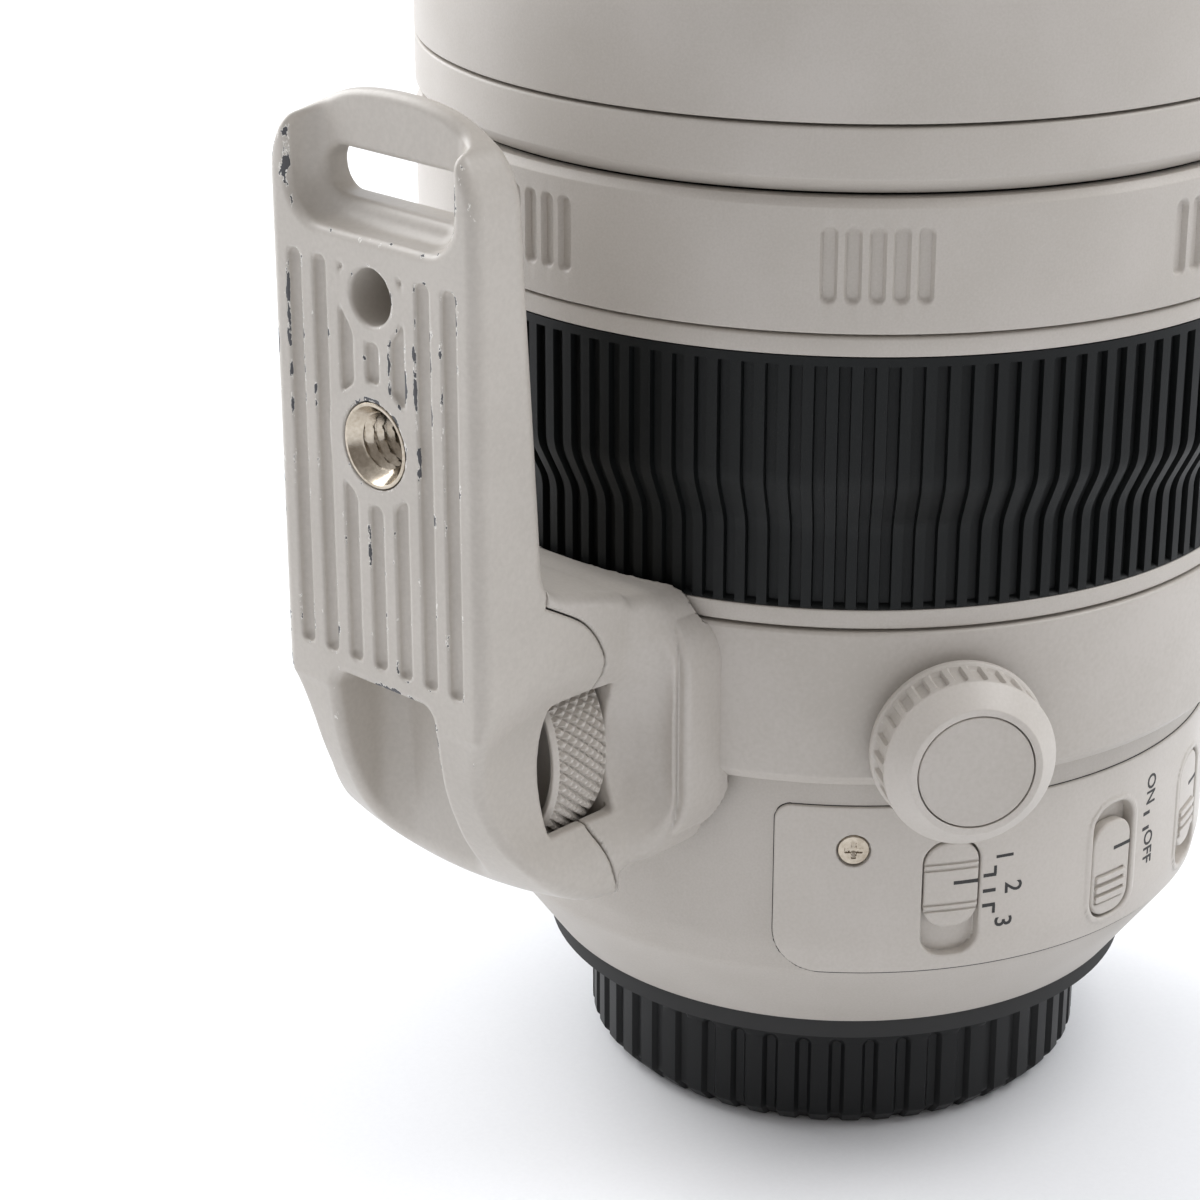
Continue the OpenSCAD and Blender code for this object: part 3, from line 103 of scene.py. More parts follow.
@dataclass(frozen=True)
class Finish:
    """A real surface: two colours, the width and height of its grain, and how it takes the light."""

    name: str
    slot: str
    colour: str
    shade: str
    roughness: float
    grain: float = 0.3
    relief: float = 0.01
    spread: float = 0.05
    blotch: float = 14.0
    metallic: float = 0.0
    ior: float = 1.5
    coat: float = 0.0
    stretch: tuple[float, float, float] = (1.0, 1.0, 1.0)

    def material(self) -> bpy.types.Material:
        """Gives the finish's material, which is made the first time."""
        return bpy.data.materials.get(self.name) or self.make()

    def make(self) -> bpy.types.Material:
        """Makes the material.

        Returns:
            The new material.
        """
        material = bpy.data.materials.new(self.name)
        material.use_nodes = True
        tree = material.node_tree
        tree.nodes.clear()
        fixed = {"Metallic": self.metallic, "Coat Weight": self.coat, "Coat Roughness": 0.2}
        if not self.metallic:
            fixed["IOR"] = self.ior
        shader = add_node(tree, "ShaderNodeBsdfPrincipled", links=fixed)
        place = add_node(tree, "ShaderNodeTexCoord").outputs["Object"]
        self.dress(tree, shader, place)
        add_node(tree, "ShaderNodeOutputMaterial", links={"Surface": shader.outputs[0]})
        return material

    def dress(self, tree: bpy.types.NodeTree, shader: bpy.types.Node, place: bpy.types.NodeSocket) -> None:
        """Adds the colour, gloss and relief that the grain gives.

        Args:
            tree: Tree of the material.
            shader: Surface shader that is fed.
            place: Object coordinates.
        """
        turned = add_node(tree, "ShaderNodeMapping", links={"Vector": place, "Scale": self.stretch}).outputs[0]
        grain = add_node(tree, "ShaderNodeTexNoise", links={
            "Vector": turned, "Scale": 1 / (self.grain * MM), "Detail": 3.0}).outputs[0]
        blotch = add_node(tree, "ShaderNodeTexNoise", links={
            "Vector": place, "Scale": 1 / (self.blotch * MM), "Detail": 2.0}).outputs[0]
        both = add_node(tree, "ShaderNodeMath", {"operation": "ADD"}, {0: grain, 1: blotch}).outputs[0]
        share = add_node(tree, "ShaderNodeMapRange", links={0: both, 1: 0.75, 2: 1.25}).outputs[0]
        colour = add_node(tree, "ShaderNodeMix", {"data_type": "RGBA"}, {
            0: share, 6: linear(self.colour), 7: linear(self.shade)}).outputs[2]
        gloss = add_node(tree, "ShaderNodeMapRange", links={
            0: blotch, 1: 0.3, 2: 0.7, 3: self.roughness - self.spread, 4: self.roughness + self.spread})
        bump = add_node(tree, "ShaderNodeBump", links={"Distance": self.relief * MM, "Height": grain})
        for name, socket in (("Base Color", colour), ("Roughness", gloss.outputs[0]), ("Normal", bump.outputs[0])):
            tree.links.new(socket, shader.inputs[name])


@dataclass(frozen=True)
class ChippedPaint(Finish):
    """Cast paint that is knocked off along edges, where the piece's wear attribute is high, with a painted highlight
    round each chip.
    """

    bare: str = "#4a4a4d"
    # Near-white colour painted round each chip: a painted highlight on the chip's edge
    rim: str = "#efece6"
    chip: float = 1.1
    chip_depth: float = 0.06
    patch: float = 9.0
    run: tuple[float, float, float] = (1.0, 1.0, 0.45)
    weight: float = 0.55
    # Depth of wear from which the painted highlight round a chip begins
    chip_highlight_from: float = 0.83
    bare_from: float = 0.86
    bare_full: float = 0.875
    bare_roughness: float = 0.55

    def dress(self, tree: bpy.types.NodeTree, shader: bpy.types.Node, place: bpy.types.NodeSocket) -> None:
        """Adds chips over the paint, each ringed by a painted highlight.

        Args:
            tree: Tree of the material.
            shader: Surface shader that is fed.
            place: Object coordinates.
        """
        super().dress(tree, shader, place)
        paint = shader.inputs["Base Color"].links[0].from_socket
        gloss = shader.inputs["Roughness"].links[0].from_socket
        wear = add_node(tree, "ShaderNodeAttribute", {"attribute_name": "wear"}).outputs["Fac"]
        flat = add_node(tree, "ShaderNodeMapping", links={"Vector": place, "Scale": self.run}).outputs[0]
        nick = add_node(tree, "ShaderNodeTexNoise", links={
            "Vector": flat, "Scale": 1 / (self.chip * MM), "Detail": 4.0, "Roughness": 0.62}).outputs[0]
        patch = add_node(tree, "ShaderNodeTexNoise", links={
            "Vector": place, "Scale": 1 / (self.patch * MM), "Detail": 1.0}).outputs[0]
        worn = add_node(tree, "ShaderNodeMath", {"operation": "MULTIPLY"}, {0: wear, 1: patch}).outputs[0]
        depth = add_node(tree, "ShaderNodeMath", {"operation": "MULTIPLY_ADD"}, {
            0: worn, 1: self.weight, 2: nick}).outputs[0]
        lost = add_node(tree, "ShaderNodeMapRange", links={
            0: depth, 1: self.bare_from, 2: self.bare_full}).outputs[0]
        # Painted highlight: the paint turns near white just round each chip, before the bare metal
        edge = add_node(tree, "ShaderNodeMapRange", links={
            0: depth, 1: self.chip_highlight_from, 2: self.bare_from}).outputs[0]
        paint_with_chip_highlight = add_node(tree, "ShaderNodeMix", {"data_type": "RGBA"}, {
            0: edge, 6: paint, 7: linear(self.rim)}).outputs[2]
        colour = add_node(tree, "ShaderNodeMix", {"data_type": "RGBA"}, {
            0: lost, 6: paint_with_chip_highlight, 7: linear(self.bare)}).outputs[2]
        rough = add_node(tree, "ShaderNodeMix", {"data_type": "FLOAT"}, {
            0: lost, 2: gloss, 3: self.bare_roughness}).outputs[0]
        bump = add_node(tree, "ShaderNodeBump", {"invert": True}, {
            "Distance": self.chip_depth * MM, "Height": lost, "Normal": shader.inputs["Normal"].links[0].from_socket})
        for name, socket in (("Base Color", colour), ("Roughness", rough), ("Normal", bump.outputs[0])):
            tree.links.new(socket, shader.inputs[name])


@dataclass(frozen=True)
class CoatedGlass(Finish):
    """Polished optical glass with a thin coating that tints its reflections."""

    film: float = 330.0
    film_ior: float = 1.38

    def dress(self, tree: bpy.types.NodeTree, shader: bpy.types.Node, place: bpy.types.NodeSocket) -> None:
        """Makes the glass clear, with a trace of dust in its gloss.

        Args:
            tree: Tree of the material.
            shader: Surface shader that is fed.
            place: Object coordinates.
        """
        super().dress(tree, shader, place)
        film = {"Transmission Weight": 1.0, "Thin Film Thickness": self.film, "Thin Film IOR": self.film_ior}
        for name, value in film.items():
            shader.inputs[name].default_value = value


class Finishes(Enum):
    """The finishes of the lens."""

    # Baked matt lacquer on aluminium: a fine dry grain that keeps highlights broad and dull
    LACQUER = Finish("baked_lacquer", "pale_paint", "#bdb7b0", "#b5afa7", 0.46, grain=0.22, relief=0.012)
    # Smooth spray paint on a magnesium casting: softer sheen, chipped to grey metal on its edges, with a painted
    # highlight round each chip
    CAST_PAINT = ChippedPaint("sprayed_cast_paint", "foot_paint", "#bbb5ad", "#b3ada5", 0.36, grain=0.5, relief=0.008)
    # The same spray paint where hands do not knock it: no chips
    COLLAR_PAINT = Finish("sprayed_collar_paint", "pale_paint", "#bcb6af", "#b4aea6", 0.38, grain=0.5, relief=0.008)
    # Moulded polycarbonate: even, faintly waxy, with a soft highlight
    PALE_PLASTIC = Finish("moulded_polycarbonate", "pale_plastic", "#c4beb7", "#bdb7af", 0.42, grain=0.35,
                          relief=0.006)
    # Ribbed nitrile rubber: near black, dry, with a grey bloom on what hands rub
    RUBBER = Finish("ribbed_nitrile", "grip_rubber", "#090b0b", "#0f1212", 0.5, grain=0.18, relief=0.012, ior=1.33)
    # Thin seal rubber: black and dull; round the switch panel it is also painted shade for the seam's shadow
    SEAL = Finish("seal_rubber", "seal_rubber", "#18191a", "#202122", 0.6, grain=0.2, relief=0.01)
    # Moulded black ABS: satin, with a fine spark-eroded texture
    ABS = Finish("satin_black_abs", "black_plastic", "#08090a", "#0d0e0f", 0.42, grain=0.25, relief=0.008, ior=1.36)
    # Black anodised aluminium: deep black with a faint turned sheen
    BLACK_ALLOY = Finish("black_anodised_alloy", "black_alloy", "#121314", "#1a1b1d", 0.45, grain=0.12, relief=0.004,
                         metallic=0.6, stretch=(0.1, 0.1, 1.0))
    # Bare machined aluminium: grey metal with fine turning lines round it
    BARE_ALLOY = Finish("machined_alloy", "bare_alloy", "#a9aaac", "#97989b", 0.32, grain=0.12, relief=0.004,
                        metallic=1.0, stretch=(0.1, 0.1, 1.0))
    # Dark anodised aluminium of the control ring: charcoal metal with a satin gloss
    CONTROL_ALLOY = Finish("charcoal_anodised_alloy", "control_alloy", "#2b2c2e", "#343537", 0.36, grain=0.12,
                           relief=0.004, metallic=0.7, stretch=(0.1, 0.1, 1.0))
    # Chrome-plated brass of the mount: bright, slightly warm, with fine turning lines
    MOUNT_PLATE = Finish("chromed_brass", "mount_plate", "#c8c6c2", "#bab8b3", 0.22, grain=0.12, relief=0.003,
                         metallic=1.0, stretch=(0.1, 0.1, 1.0))
    # Nickel-plated brass of the bush and screws: warm bright metal with small scuffs
    NICKEL = Finish("nickel_plated_brass", "nickel", "#c0b6a7", "#a69b8b", 0.2, grain=0.4, relief=0.006,
                    spread=0.08, blotch=3.0, metallic=1.0)
    # Ground steel of pins and rollers: cool grey
    STEEL = Finish("ground_steel", "steel", "#b4b6b9", "#a2a4a8", 0.28, grain=0.15, relief=0.003, metallic=1.0)
    # Gold flash on contacts: soft yellow metal
    GILT = Finish("gold_flash", "gilt", "#d9b464", "#cba552", 0.24, grain=0.2, relief=0.003, metallic=1.0)
    # Circuit board under solder mask: dark green, glossy
    BOARD = Finish("solder_mask", "board", "#1f4a35", "#2a5a41", 0.35, grain=0.8, relief=0.02, coat=0.3)
    # Wool felt of the dust seal: black, fibrous and without gloss
    FELT = Finish("wool_felt", "felt", "#171718", "#232325", 0.9, grain=0.15, relief=0.05)
    # Coated optical glass: clear, with a faint violet and green reflection
    GLASS = CoatedGlass("coated_optical_glass", "glass", "#fbfcfc", "#f8fafb", 0.03, grain=2.0, relief=0.0,
                        spread=0.01, ior=1.62)
    # Screen-printed ink: dark, dull and very thin
    INK = Finish("screen_ink", "", "#2c2b2b", "#353433", 0.6, grain=0.2, relief=0.004)


# Meshes


def rounded(corners: Sequence[tuple[float, ...]], steps: int = 4) -> Outline:
    """Rounds the corners of an outline.

    Args:
        corners: Points of radius and height, each with a fillet radius where it is eased.
        steps: Straight pieces in each fillet.

    Returns:
        The outline's points.
    """
    points: Outline = []
    count = len(corners)
    for i, (x, y, *ease) in enumerate(corners):
        if not ease:
            points.append((x, y))
            continue
        here = Vector((x, y))
        back = Vector(corners[i - 1][:2]) - here
        ahead = Vector(corners[(i + 1) % count][:2]) - here
        half = back.angle(ahead) / 2
        reach = min(ease[0] / math.tan(half), 0.49 * back.length, 0.49 * ahead.length)
        radius = reach * math.tan(half)
        centre = here + (back.normalized() + ahead.normalized()).normalized() * (radius / math.sin(half))
        start = here + back.normalized() * reach - centre
        end = here + ahead.normalized() * reach - centre
        sweep = math.atan2(start.x * end.y - start.y * end.x, start.dot(end))
        for k in range(steps + 1):
            turn = sweep * k / steps
            points.append((centre.x + start.x * math.cos(turn) - start.y * math.sin(turn),
                           centre.y + start.x * math.sin(turn) + start.y * math.cos(turn)))
    return points


def polar(radius: np.ndarray, degrees: np.ndarray, height: np.ndarray) -> np.ndarray:
    """Gives points from a radius, an angle round the lens and a height."""
    turn = np.radians(degrees)
    return np.stack([radius * np.sin(turn), -radius * np.cos(turn), np.broadcast_to(height, radius.shape)], -1)


def swept(outline: Outline, angles: Sequence[float], bump: Field | None = None, closed: bool = True) -> Mesh:
    """Turns an outline through a run of angles.

    Args:
        outline: Radius and height of each point, counter-clockwise.
        angles: Angles in degrees, in rising order.
        bump: Gives the change of radius from radius, angle and height.
        closed: Whether the outline's end joins its start.

    Returns:
        Points and four-sided faces.
    """
    radius, height = (np.array(v, float)[:, None] + np.zeros(len(angles)) for v in zip(*outline))
    degrees = np.array(angles, float)[None, :] + np.zeros((len(outline), 1))
    if bump:
        radius = radius + bump(radius, degrees, height)
    points = polar(radius, degrees, height).reshape(-1, 3)
    rows, columns = radius.shape
    i, j = np.meshgrid(np.arange(rows if closed else rows - 1), np.arange(columns - 1), indexing="ij")
    low, high = i * columns + j, (i + 1) % rows * columns + j
    return points, np.stack([low, low + 1, high + 1, high], -1).reshape(-1, 4)


def outward(angle: float, height: float) -> Matrix:
    """Gives the turn and shift that lay a form's own axis outwards.

    Args:
        angle: Angle round the lens.
        height: Height on the lens.

    Returns:
        The matrix, in millimetres.
    """
    turn = math.radians(angle)
    out = Vector((math.sin(turn), -math.cos(turn), 0))
    side = Vector((math.cos(turn), math.sin(turn), 0))
    return Matrix.Translation((0, 0, height)) @ Matrix((side, Vector((0, 0, 1)), out)).transposed().to_4x4()


def moved(points: np.ndarray, place: Matrix) -> np.ndarray:
    """Moves points by a matrix."""
    grid = np.array(place)
    return points @ grid[:3, :3].T + grid[:3, 3]


def joined(meshes: Sequence[Mesh]) -> Mesh:
    """Puts several meshes into one."""
    starts = np.cumsum([0] + [len(points) for points, _ in meshes])
    return np.concatenate([m[0] for m in meshes]), np.concatenate([m[1] + s for m, s in zip(meshes, starts)])


def make_object(name: str, mesh: Mesh, weld: bool = True) -> bpy.types.Object:
    """Makes a scene object from points and faces.

    Args:
        name: Name of the piece.
        mesh: Points in millimetres, and faces.
        weld: Whether points that meet are merged and the faces turned outwards.

    Returns:
        The new object, at the origin.
    """
    data = bpy.data.meshes.new(name)
    data.from_pydata((mesh[0] * MM).tolist(), [], mesh[1].tolist())
    if weld:
        weld_mesh(data)
    piece = bpy.data.objects.new(name, data)
    bpy.context.scene.collection.objects.link(piece)
    return piece


def weld_mesh(data: bpy.types.Mesh) -> None:
    """Merges points that meet, drops empty faces and turns the rest outwards.

    Args:
        data: Mesh that is changed.
    """
    work = bmesh.new()
    work.from_mesh(data)
    bmesh.ops.remove_doubles(work, verts=work.verts, dist=WELD * MM)
    bmesh.ops.dissolve_degenerate(work, edges=work.edges, dist=SLIVER * MM)
    bmesh.ops.recalc_face_normals(work, faces=work.faces)
    work.to_mesh(data)
    work.free()


def dress(piece: bpy.types.Object, finish: Finishes, body: str, nodes: Sequence[str] = (),
          crease: float = 32.0) -> bpy.types.Object:
    """Gives a piece its finish and its place in the model.

    Args:
        piece: Object to dress.
        finish: Finish that it gets.
        body: Body that it rides on.
        nodes: Solids that it stands for.
        crease: Angle in degrees from which an edge shows as sharp.

    Returns:
        The same object.
    """
    piece.data.materials.clear()
    piece.data.materials.append(finish.value.material())
    piece.data.polygons.foreach_set("use_smooth", np.ones(len(piece.data.polygons), bool))
    if not piece.data.has_custom_normals:
        piece.data.set_sharp_from_angle(angle=math.radians(crease))
    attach(piece, body)
    if nodes:
        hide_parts(*nodes)
    log.info("%s: %d faces on %s", piece.name, len(piece.data.polygons), body)
    return piece


def lathe(name: str, corners: Sequence[tuple[float, ...]], finish: Finishes, body: str, nodes: Sequence[str] = (),
          place: Matrix | None = None, steps: int = 256, closed: bool = True) -> bpy.types.Object:
    """Makes a plain turned piece.

    Args:
        name: Name of the piece.
        corners: Outline's corners, counter-clockwise, each with its fillet where it is eased.
        finish: Finish that it gets.
        body: Body that it rides on.
        nodes: Solids that it stands for.
        place: Turn and shift of the piece's own axis.
        steps: Faces round the piece.
        closed: Whether the outline is closed, or starts and ends on the axis.

    Returns:
        The dressed object.
    """
    points, faces = swept(rounded(corners), np.linspace(0, 360, steps + 1), closed=closed)
    if place:
        points = moved(points, place)
    return dress(make_object(name, (points, faces)), finish, body, nodes)


# Geometry Nodes trees


def new_tree(name: str, inputs: dict[str, str]) -> tuple[bpy.types.NodeTree, bpy.types.Node]:
    """Starts a geometry tree.

    Args:
        name: Name of the tree.
        inputs: Names of its inputs and their kinds.

    Returns:
        The tree and its input node.
    """
    tree = bpy.data.node_groups.new(name, "GeometryNodeTree")
    for label, kind in {"Geometry": "Geometry", **inputs, "Material": "Material"}.items():
        tree.interface.new_socket(label, in_out="INPUT", socket_type="NodeSocket" + kind)
    tree.interface.new_socket("Geometry", in_out="OUTPUT", socket_type="NodeSocketGeometry")
    return tree, add_node(tree, "NodeGroupInput")


def end_tree(tree: bpy.types.NodeTree, shape: bpy.types.NodeSocket, given: bpy.types.Node) -> bpy.types.NodeTree:
    """Ends a tree: instances become real faces and get the material.

    Args:
        tree: Tree that is ended.
        shape: Geometry that it has made.
        given: Its input node.

    Returns:
        The same tree.
    """
    real = add_node(tree, "GeometryNodeRealizeInstances", links={"Geometry": shape}).outputs[0]
    done = add_node(tree, "GeometryNodeSetMaterial", links={"Geometry": real, "Material": given.outputs["Material"]})
    add_node(tree, "NodeGroupOutput", links={0: done.outputs[0]})
    return tree


@cache
def ring_tree() -> bpy.types.NodeTree:
    """Builds the tree that repeats a form round the axis, in rows that are offset by half a step.

    Returns:
        The tree, with the inputs Count, Rows and Pitch.
    """
    tree, given = new_tree("rows_round_axis", {"Count": "Int", "Rows": "Int", "Pitch": "Float"})
    count = given.outputs["Count"]

    def sums(operation: str, *values: object) -> bpy.types.NodeSocket:
        """Adds one sum on the given values."""
        return add_node(tree, "ShaderNodeMath", {"operation": operation}, dict(enumerate(values))).outputs[0]

    index = add_node(tree, "GeometryNodeInputIndex").outputs[0]
    row = sums("FLOOR", sums("DIVIDE", index, count))
    step = sums("MULTIPLY_ADD", sums("MODULO", row, 2.0), 0.5, sums("MODULO", index, count))
    turn = sums("MULTIPLY", step, sums("DIVIDE", math.tau, count))
    spot = add_node(tree, "ShaderNodeCombineXYZ", links={"Z": sums("MULTIPLY", row, given.outputs["Pitch"])})
    angle = add_node(tree, "ShaderNodeCombineXYZ", links={"Z": turn})
    dots = add_node(tree, "GeometryNodePoints", links={
        "Count": sums("MULTIPLY", count, given.outputs["Rows"]), "Position": spot.outputs[0]})
    copies = add_node(tree, "GeometryNodeInstanceOnPoints", links={
        "Points": dots.outputs[0], "Instance": given.outputs["Geometry"], "Rotation": angle.outputs[0]})
    return end_tree(tree, copies.outputs[0], given)


@cache
def thread_tree() -> bpy.types.NodeTree:
    """Builds the tree that runs a ridge along a helix, for screw threads.

    Returns:
        The tree, with the inputs Radius, Turns, Length and Ridge.
    """
    tree, given = new_tree("thread_ridge", {"Radius": "Float", "Turns": "Float", "Length": "Float", "Ridge": "Float"})
    helix = add_node(tree, "GeometryNodeCurveSpiral", links={
        "Resolution": 48, "Rotations": given.outputs["Turns"], "Start Radius": given.outputs["Radius"],
        "End Radius": given.outputs["Radius"], "Height": given.outputs["Length"]})
    ridge = add_node(tree, "GeometryNodeCurvePrimitiveCircle", links={
        "Resolution": 6, "Radius": given.outputs["Ridge"]})
    tube = add_node(tree, "GeometryNodeCurveToMesh", links={
        "Curve": helix.outputs[0], "Profile Curve": ridge.outputs[0], "Fill Caps": True})
    return end_tree(tree, tube.outputs[0], given)


def grown(piece: bpy.types.Object, tree: bpy.types.NodeTree, finish: Finishes, **values: float) -> bpy.types.Object:
    """Runs a tree on an object and keeps the result as a plain mesh.

    Args:
        piece: Object whose mesh the tree starts from.
        tree: Tree to run.
        finish: Finish that the tree sets.
        values: The tree's inputs, by name.

    Returns:
        The object, with its new mesh and no modifier.
    """
    modifier = piece.modifiers.new(tree.name, "NODES")
    modifier.node_group = tree
    sockets = {item.name: item.identifier for item in tree.interface.items_tree if item.in_out == "INPUT"}
    for name, value in values.items():
        modifier[sockets[name]] = value
    modifier[sockets["Material"]] = finish.value.material()
    result = bpy.data.meshes.new_from_object(piece.evaluated_get(bpy.context.evaluated_depsgraph_get()))
    piece.modifiers.clear()
    piece.data = result
    weld_mesh(result)
    return piece


def repeated(name: str, share: Mesh, count: int, finish: Finishes, body: str, nodes: Sequence[str] = (),
             place: Matrix | None = None, crease: float = 32.0, rows: int = 1,
             pitch: float = 0.0) -> bpy.types.Object:
    """Makes a piece whose form is repeated round its axis.

    Args:
        name: Name of the piece.
        share: The form that is repeated.
        count: Copies in each row.
        finish: Finish that it gets.
        body: Body that it rides on.
        nodes: Solids that it stands for.
        place: Turn and shift of the piece's own axis.
        crease: Angle in degrees from which an edge shows as sharp.
        rows: Rows of copies.
        pitch: Height from one row to the next.

    Returns:
        The dressed object.
    """
    piece = grown(make_object(name, share), ring_tree(), finish, Count=count, Rows=rows, Pitch=pitch * MM)
    if place:
        piece.data.transform(Matrix.Translation(place.translation * MM) @ place.to_3x3().to_4x4())
    return dress(piece, finish, body, nodes, crease)


# Fields


def round_and(a: np.ndarray, b: np.ndarray, ease: float) -> np.ndarray:
    """Keeps what two fields share, with the edge between them rounded."""
    return np.minimum(np.maximum(a, b), -ease) + np.hypot(np.maximum(a + ease, 0), np.maximum(b + ease, 0))


def round_or(a: np.ndarray, b: np.ndarray, ease: float) -> np.ndarray:
    """Joins two fields, with a fillet in the corner between them."""
    return -round_and(-a, -b, ease)


def round_cut(a: np.ndarray, b: np.ndarray, ease: float) -> np.ndarray:
    """Cuts the second field out of the first, with the new edge rounded."""
    return round_and(a, -b, ease)


def band(value: np.ndarray, low: float, high: float) -> np.ndarray:
    """Gives the field of what lies between two values."""
    return np.maximum(low - value, value - high)


def rect(u: np.ndarray, v: np.ndarray, half_u: float, half_v: float, corner: float) -> np.ndarray:
    """Gives the field of a rectangle round the origin with rounded corners."""
    a, b = np.abs(u) - half_u + corner, np.abs(v) - half_v + corner
    return np.minimum(np.maximum(a, b), 0) + np.hypot(np.maximum(a, 0), np.maximum(b, 0)) - corner


def polygon(u: np.ndarray, v: np.ndarray, corners: Outline) -> np.ndarray:
    """Gives the field of a polygon.

    Args:
        u: First coordinate.
        v: Second coordinate.
        corners: The polygon's corners.

    Returns:
        The field's values.
    """
    near = np.full(u.shape, 1e9)
    sign = np.ones(u.shape)
    for (a, b), (c, d) in zip(corners, corners[1:] + corners[:1]):
        share = np.clip(((u - a) * (c - a) + (v - b) * (d - b)) / ((c - a) ** 2 + (d - b) ** 2), 0, 1)
        near = np.minimum(near, (u - a - share * (c - a)) ** 2 + (v - b - share * (d - b)) ** 2)
        tests = np.array([v >= b, v < d, (c - a) * (v - b) > (d - b) * (u - a)])
        sign = np.where(tests.all(0) | ~tests.any(0), -sign, sign)
    return sign * np.sqrt(near)


def slope(field: Field, points: np.ndarray, reach: float) -> tuple[np.ndarray, np.ndarray]:
    """Measures a field's slope and its curvature at points.

    Args:
        field: The field.
        points: Points in millimetres.
        reach: Distance over which it is measured.

    Returns:
        The slope at each point, and how convex the field is there.
    """
    sides = []
    for axis in range(3):
        shift = np.zeros(3)
        shift[axis] = reach
        sides.append((field(*(points + shift).T), field(*(points - shift).T)))
    steep = np.stack([(a - b) / (2 * reach) for a, b in sides], -1)
    curve = (sum(a + b for a, b in sides) - 6 * field(*points.T)) / reach ** 2
    return steep, curve


def netted(field: Field, low: Sequence[float], high: Sequence[float], step: float) -> Mesh:
    """Lays a net of faces over the surface of a field.

    Args:
        field: The field.
        low: Lowest corner of the box that holds the form.
        high: Highest corner of that box.
        step: Size of the net's cells.

    Returns:
        Points on the surface, and faces.
    """
    axes = [np.arange(a - 1.5 * step, b + 2.5 * step, step) for a, b in zip(low, high)]
    value = field(*np.meshgrid(*axes, indexing="ij"))
    inside = value < 0
    shape = tuple(n - 1 for n in value.shape)
    total, hits = np.zeros((*shape, 3)), np.zeros(shape)
    for axis in range(3):
        for corner in ((0, 0), (0, 1), (1, 0), (1, 1)):
            start = list(corner)
            start.insert(axis, 0)
            end = [s + (n == axis) for n, s in enumerate(start)]
            a, b = (value[tuple(slice(k, k + n) for k, n in zip(spot, shape))] for spot in (start, end))
            cross = (a < 0) != (b < 0)
            share = np.where(cross, a / np.where(cross, a - b, 1), 0)
            total += cross[..., None] * np.array(start)
            total[..., axis] += share
            hits += cross
    used = hits > 0
    index = np.full(shape, -1)
    index[used] = np.arange(used.sum())
    points = np.array([a[0] for a in axes]) + step * (np.argwhere(used) + total[used] / hits[used][:, None])
    faces = []
    for axis in range(3):
        u, v = (axis + 1) % 3, (axis + 2) % 3
        ahead = np.roll(inside, -1, axis)
        for first, second, order in ((inside, ahead, 1), (ahead, inside, -1)):
            spots = np.argwhere(first & ~second)
            spots = spots[spots[:, axis] < value.shape[axis] - 1]
            corners = []
            for back in ((1, 1), (0, 1), (0, 0), (1, 0))[::order]:
                cell = spots.copy()
                cell[:, u] -= back[0]
                cell[:, v] -= back[1]
                corners.append(index[tuple(cell.T)])
            faces.append(np.stack(corners, -1))
    for _ in range(3):
        steep, _ = slope(field, points, 0.02)
        miss = np.clip(field(*points.T), -step / 2, step / 2)
        points = points - steep * (miss / np.maximum((steep ** 2).sum(-1), 0.25))[:, None]
    return points, np.concatenate(faces)


def cast(name: str, field: Field, low: Sequence[float], high: Sequence[float], step: float, wear: Field | None = None,
         place: Callable[[np.ndarray], np.ndarray] | None = None) -> bpy.types.Object:
    """Makes an object from a field.

    Args:
        name: Name of the piece.
        field: The field.
        low: Lowest corner of the box that holds the form.
        high: Highest corner of that box.
        step: Size of the net's cells.
        wear: Gives how much each place is knocked, for a wear attribute along the edges.
        place: Lays the net's points in their place on the lens.

    Returns:
        The new object.
    """
    points, faces = netted(field, low, high, step)
    steep, _ = slope(field, points, 0.06)
    normals = steep / np.linalg.norm(steep, axis=-1, keepdims=True)
    piece = make_object(name, (place(points) if place else points, faces), weld=False)
    if wear:
        curve = np.clip(slope(field, points, 0.7)[1], 0, 1.2) * wear(*points.T)
        piece.data.attributes.new("wear", "FLOAT", "POINT").data.foreach_set("value", curve)
    if place:
        normals = place(points + normals * 0.01) - place(points)
        normals /= np.linalg.norm(normals, axis=-1, keepdims=True)
    piece.data.polygons.foreach_set("use_smooth", np.ones(len(faces), bool))
    piece.data.normals_split_custom_set_from_vertices(normals.tolist())
    return piece


# Sub-assemblies


def extent(node: str) -> tuple[float, float, float]:
    """Gives a solid's lowest and highest point along the axis, and how far it reaches to the right."""
    low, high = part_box(node)
    return low.z / MM, high.z / MM, high.x / MM


def sunk(across: np.ndarray, past: np.ndarray, half: float, depth: float, flank: float) -> np.ndarray:
    """Gives the change of radius in a round-ended groove, from the way across it and the way past its end."""
    return -depth * np.clip(0.5 - (np.hypot(across, np.maximum(past, 0)) - half) / flank, 0, 1)


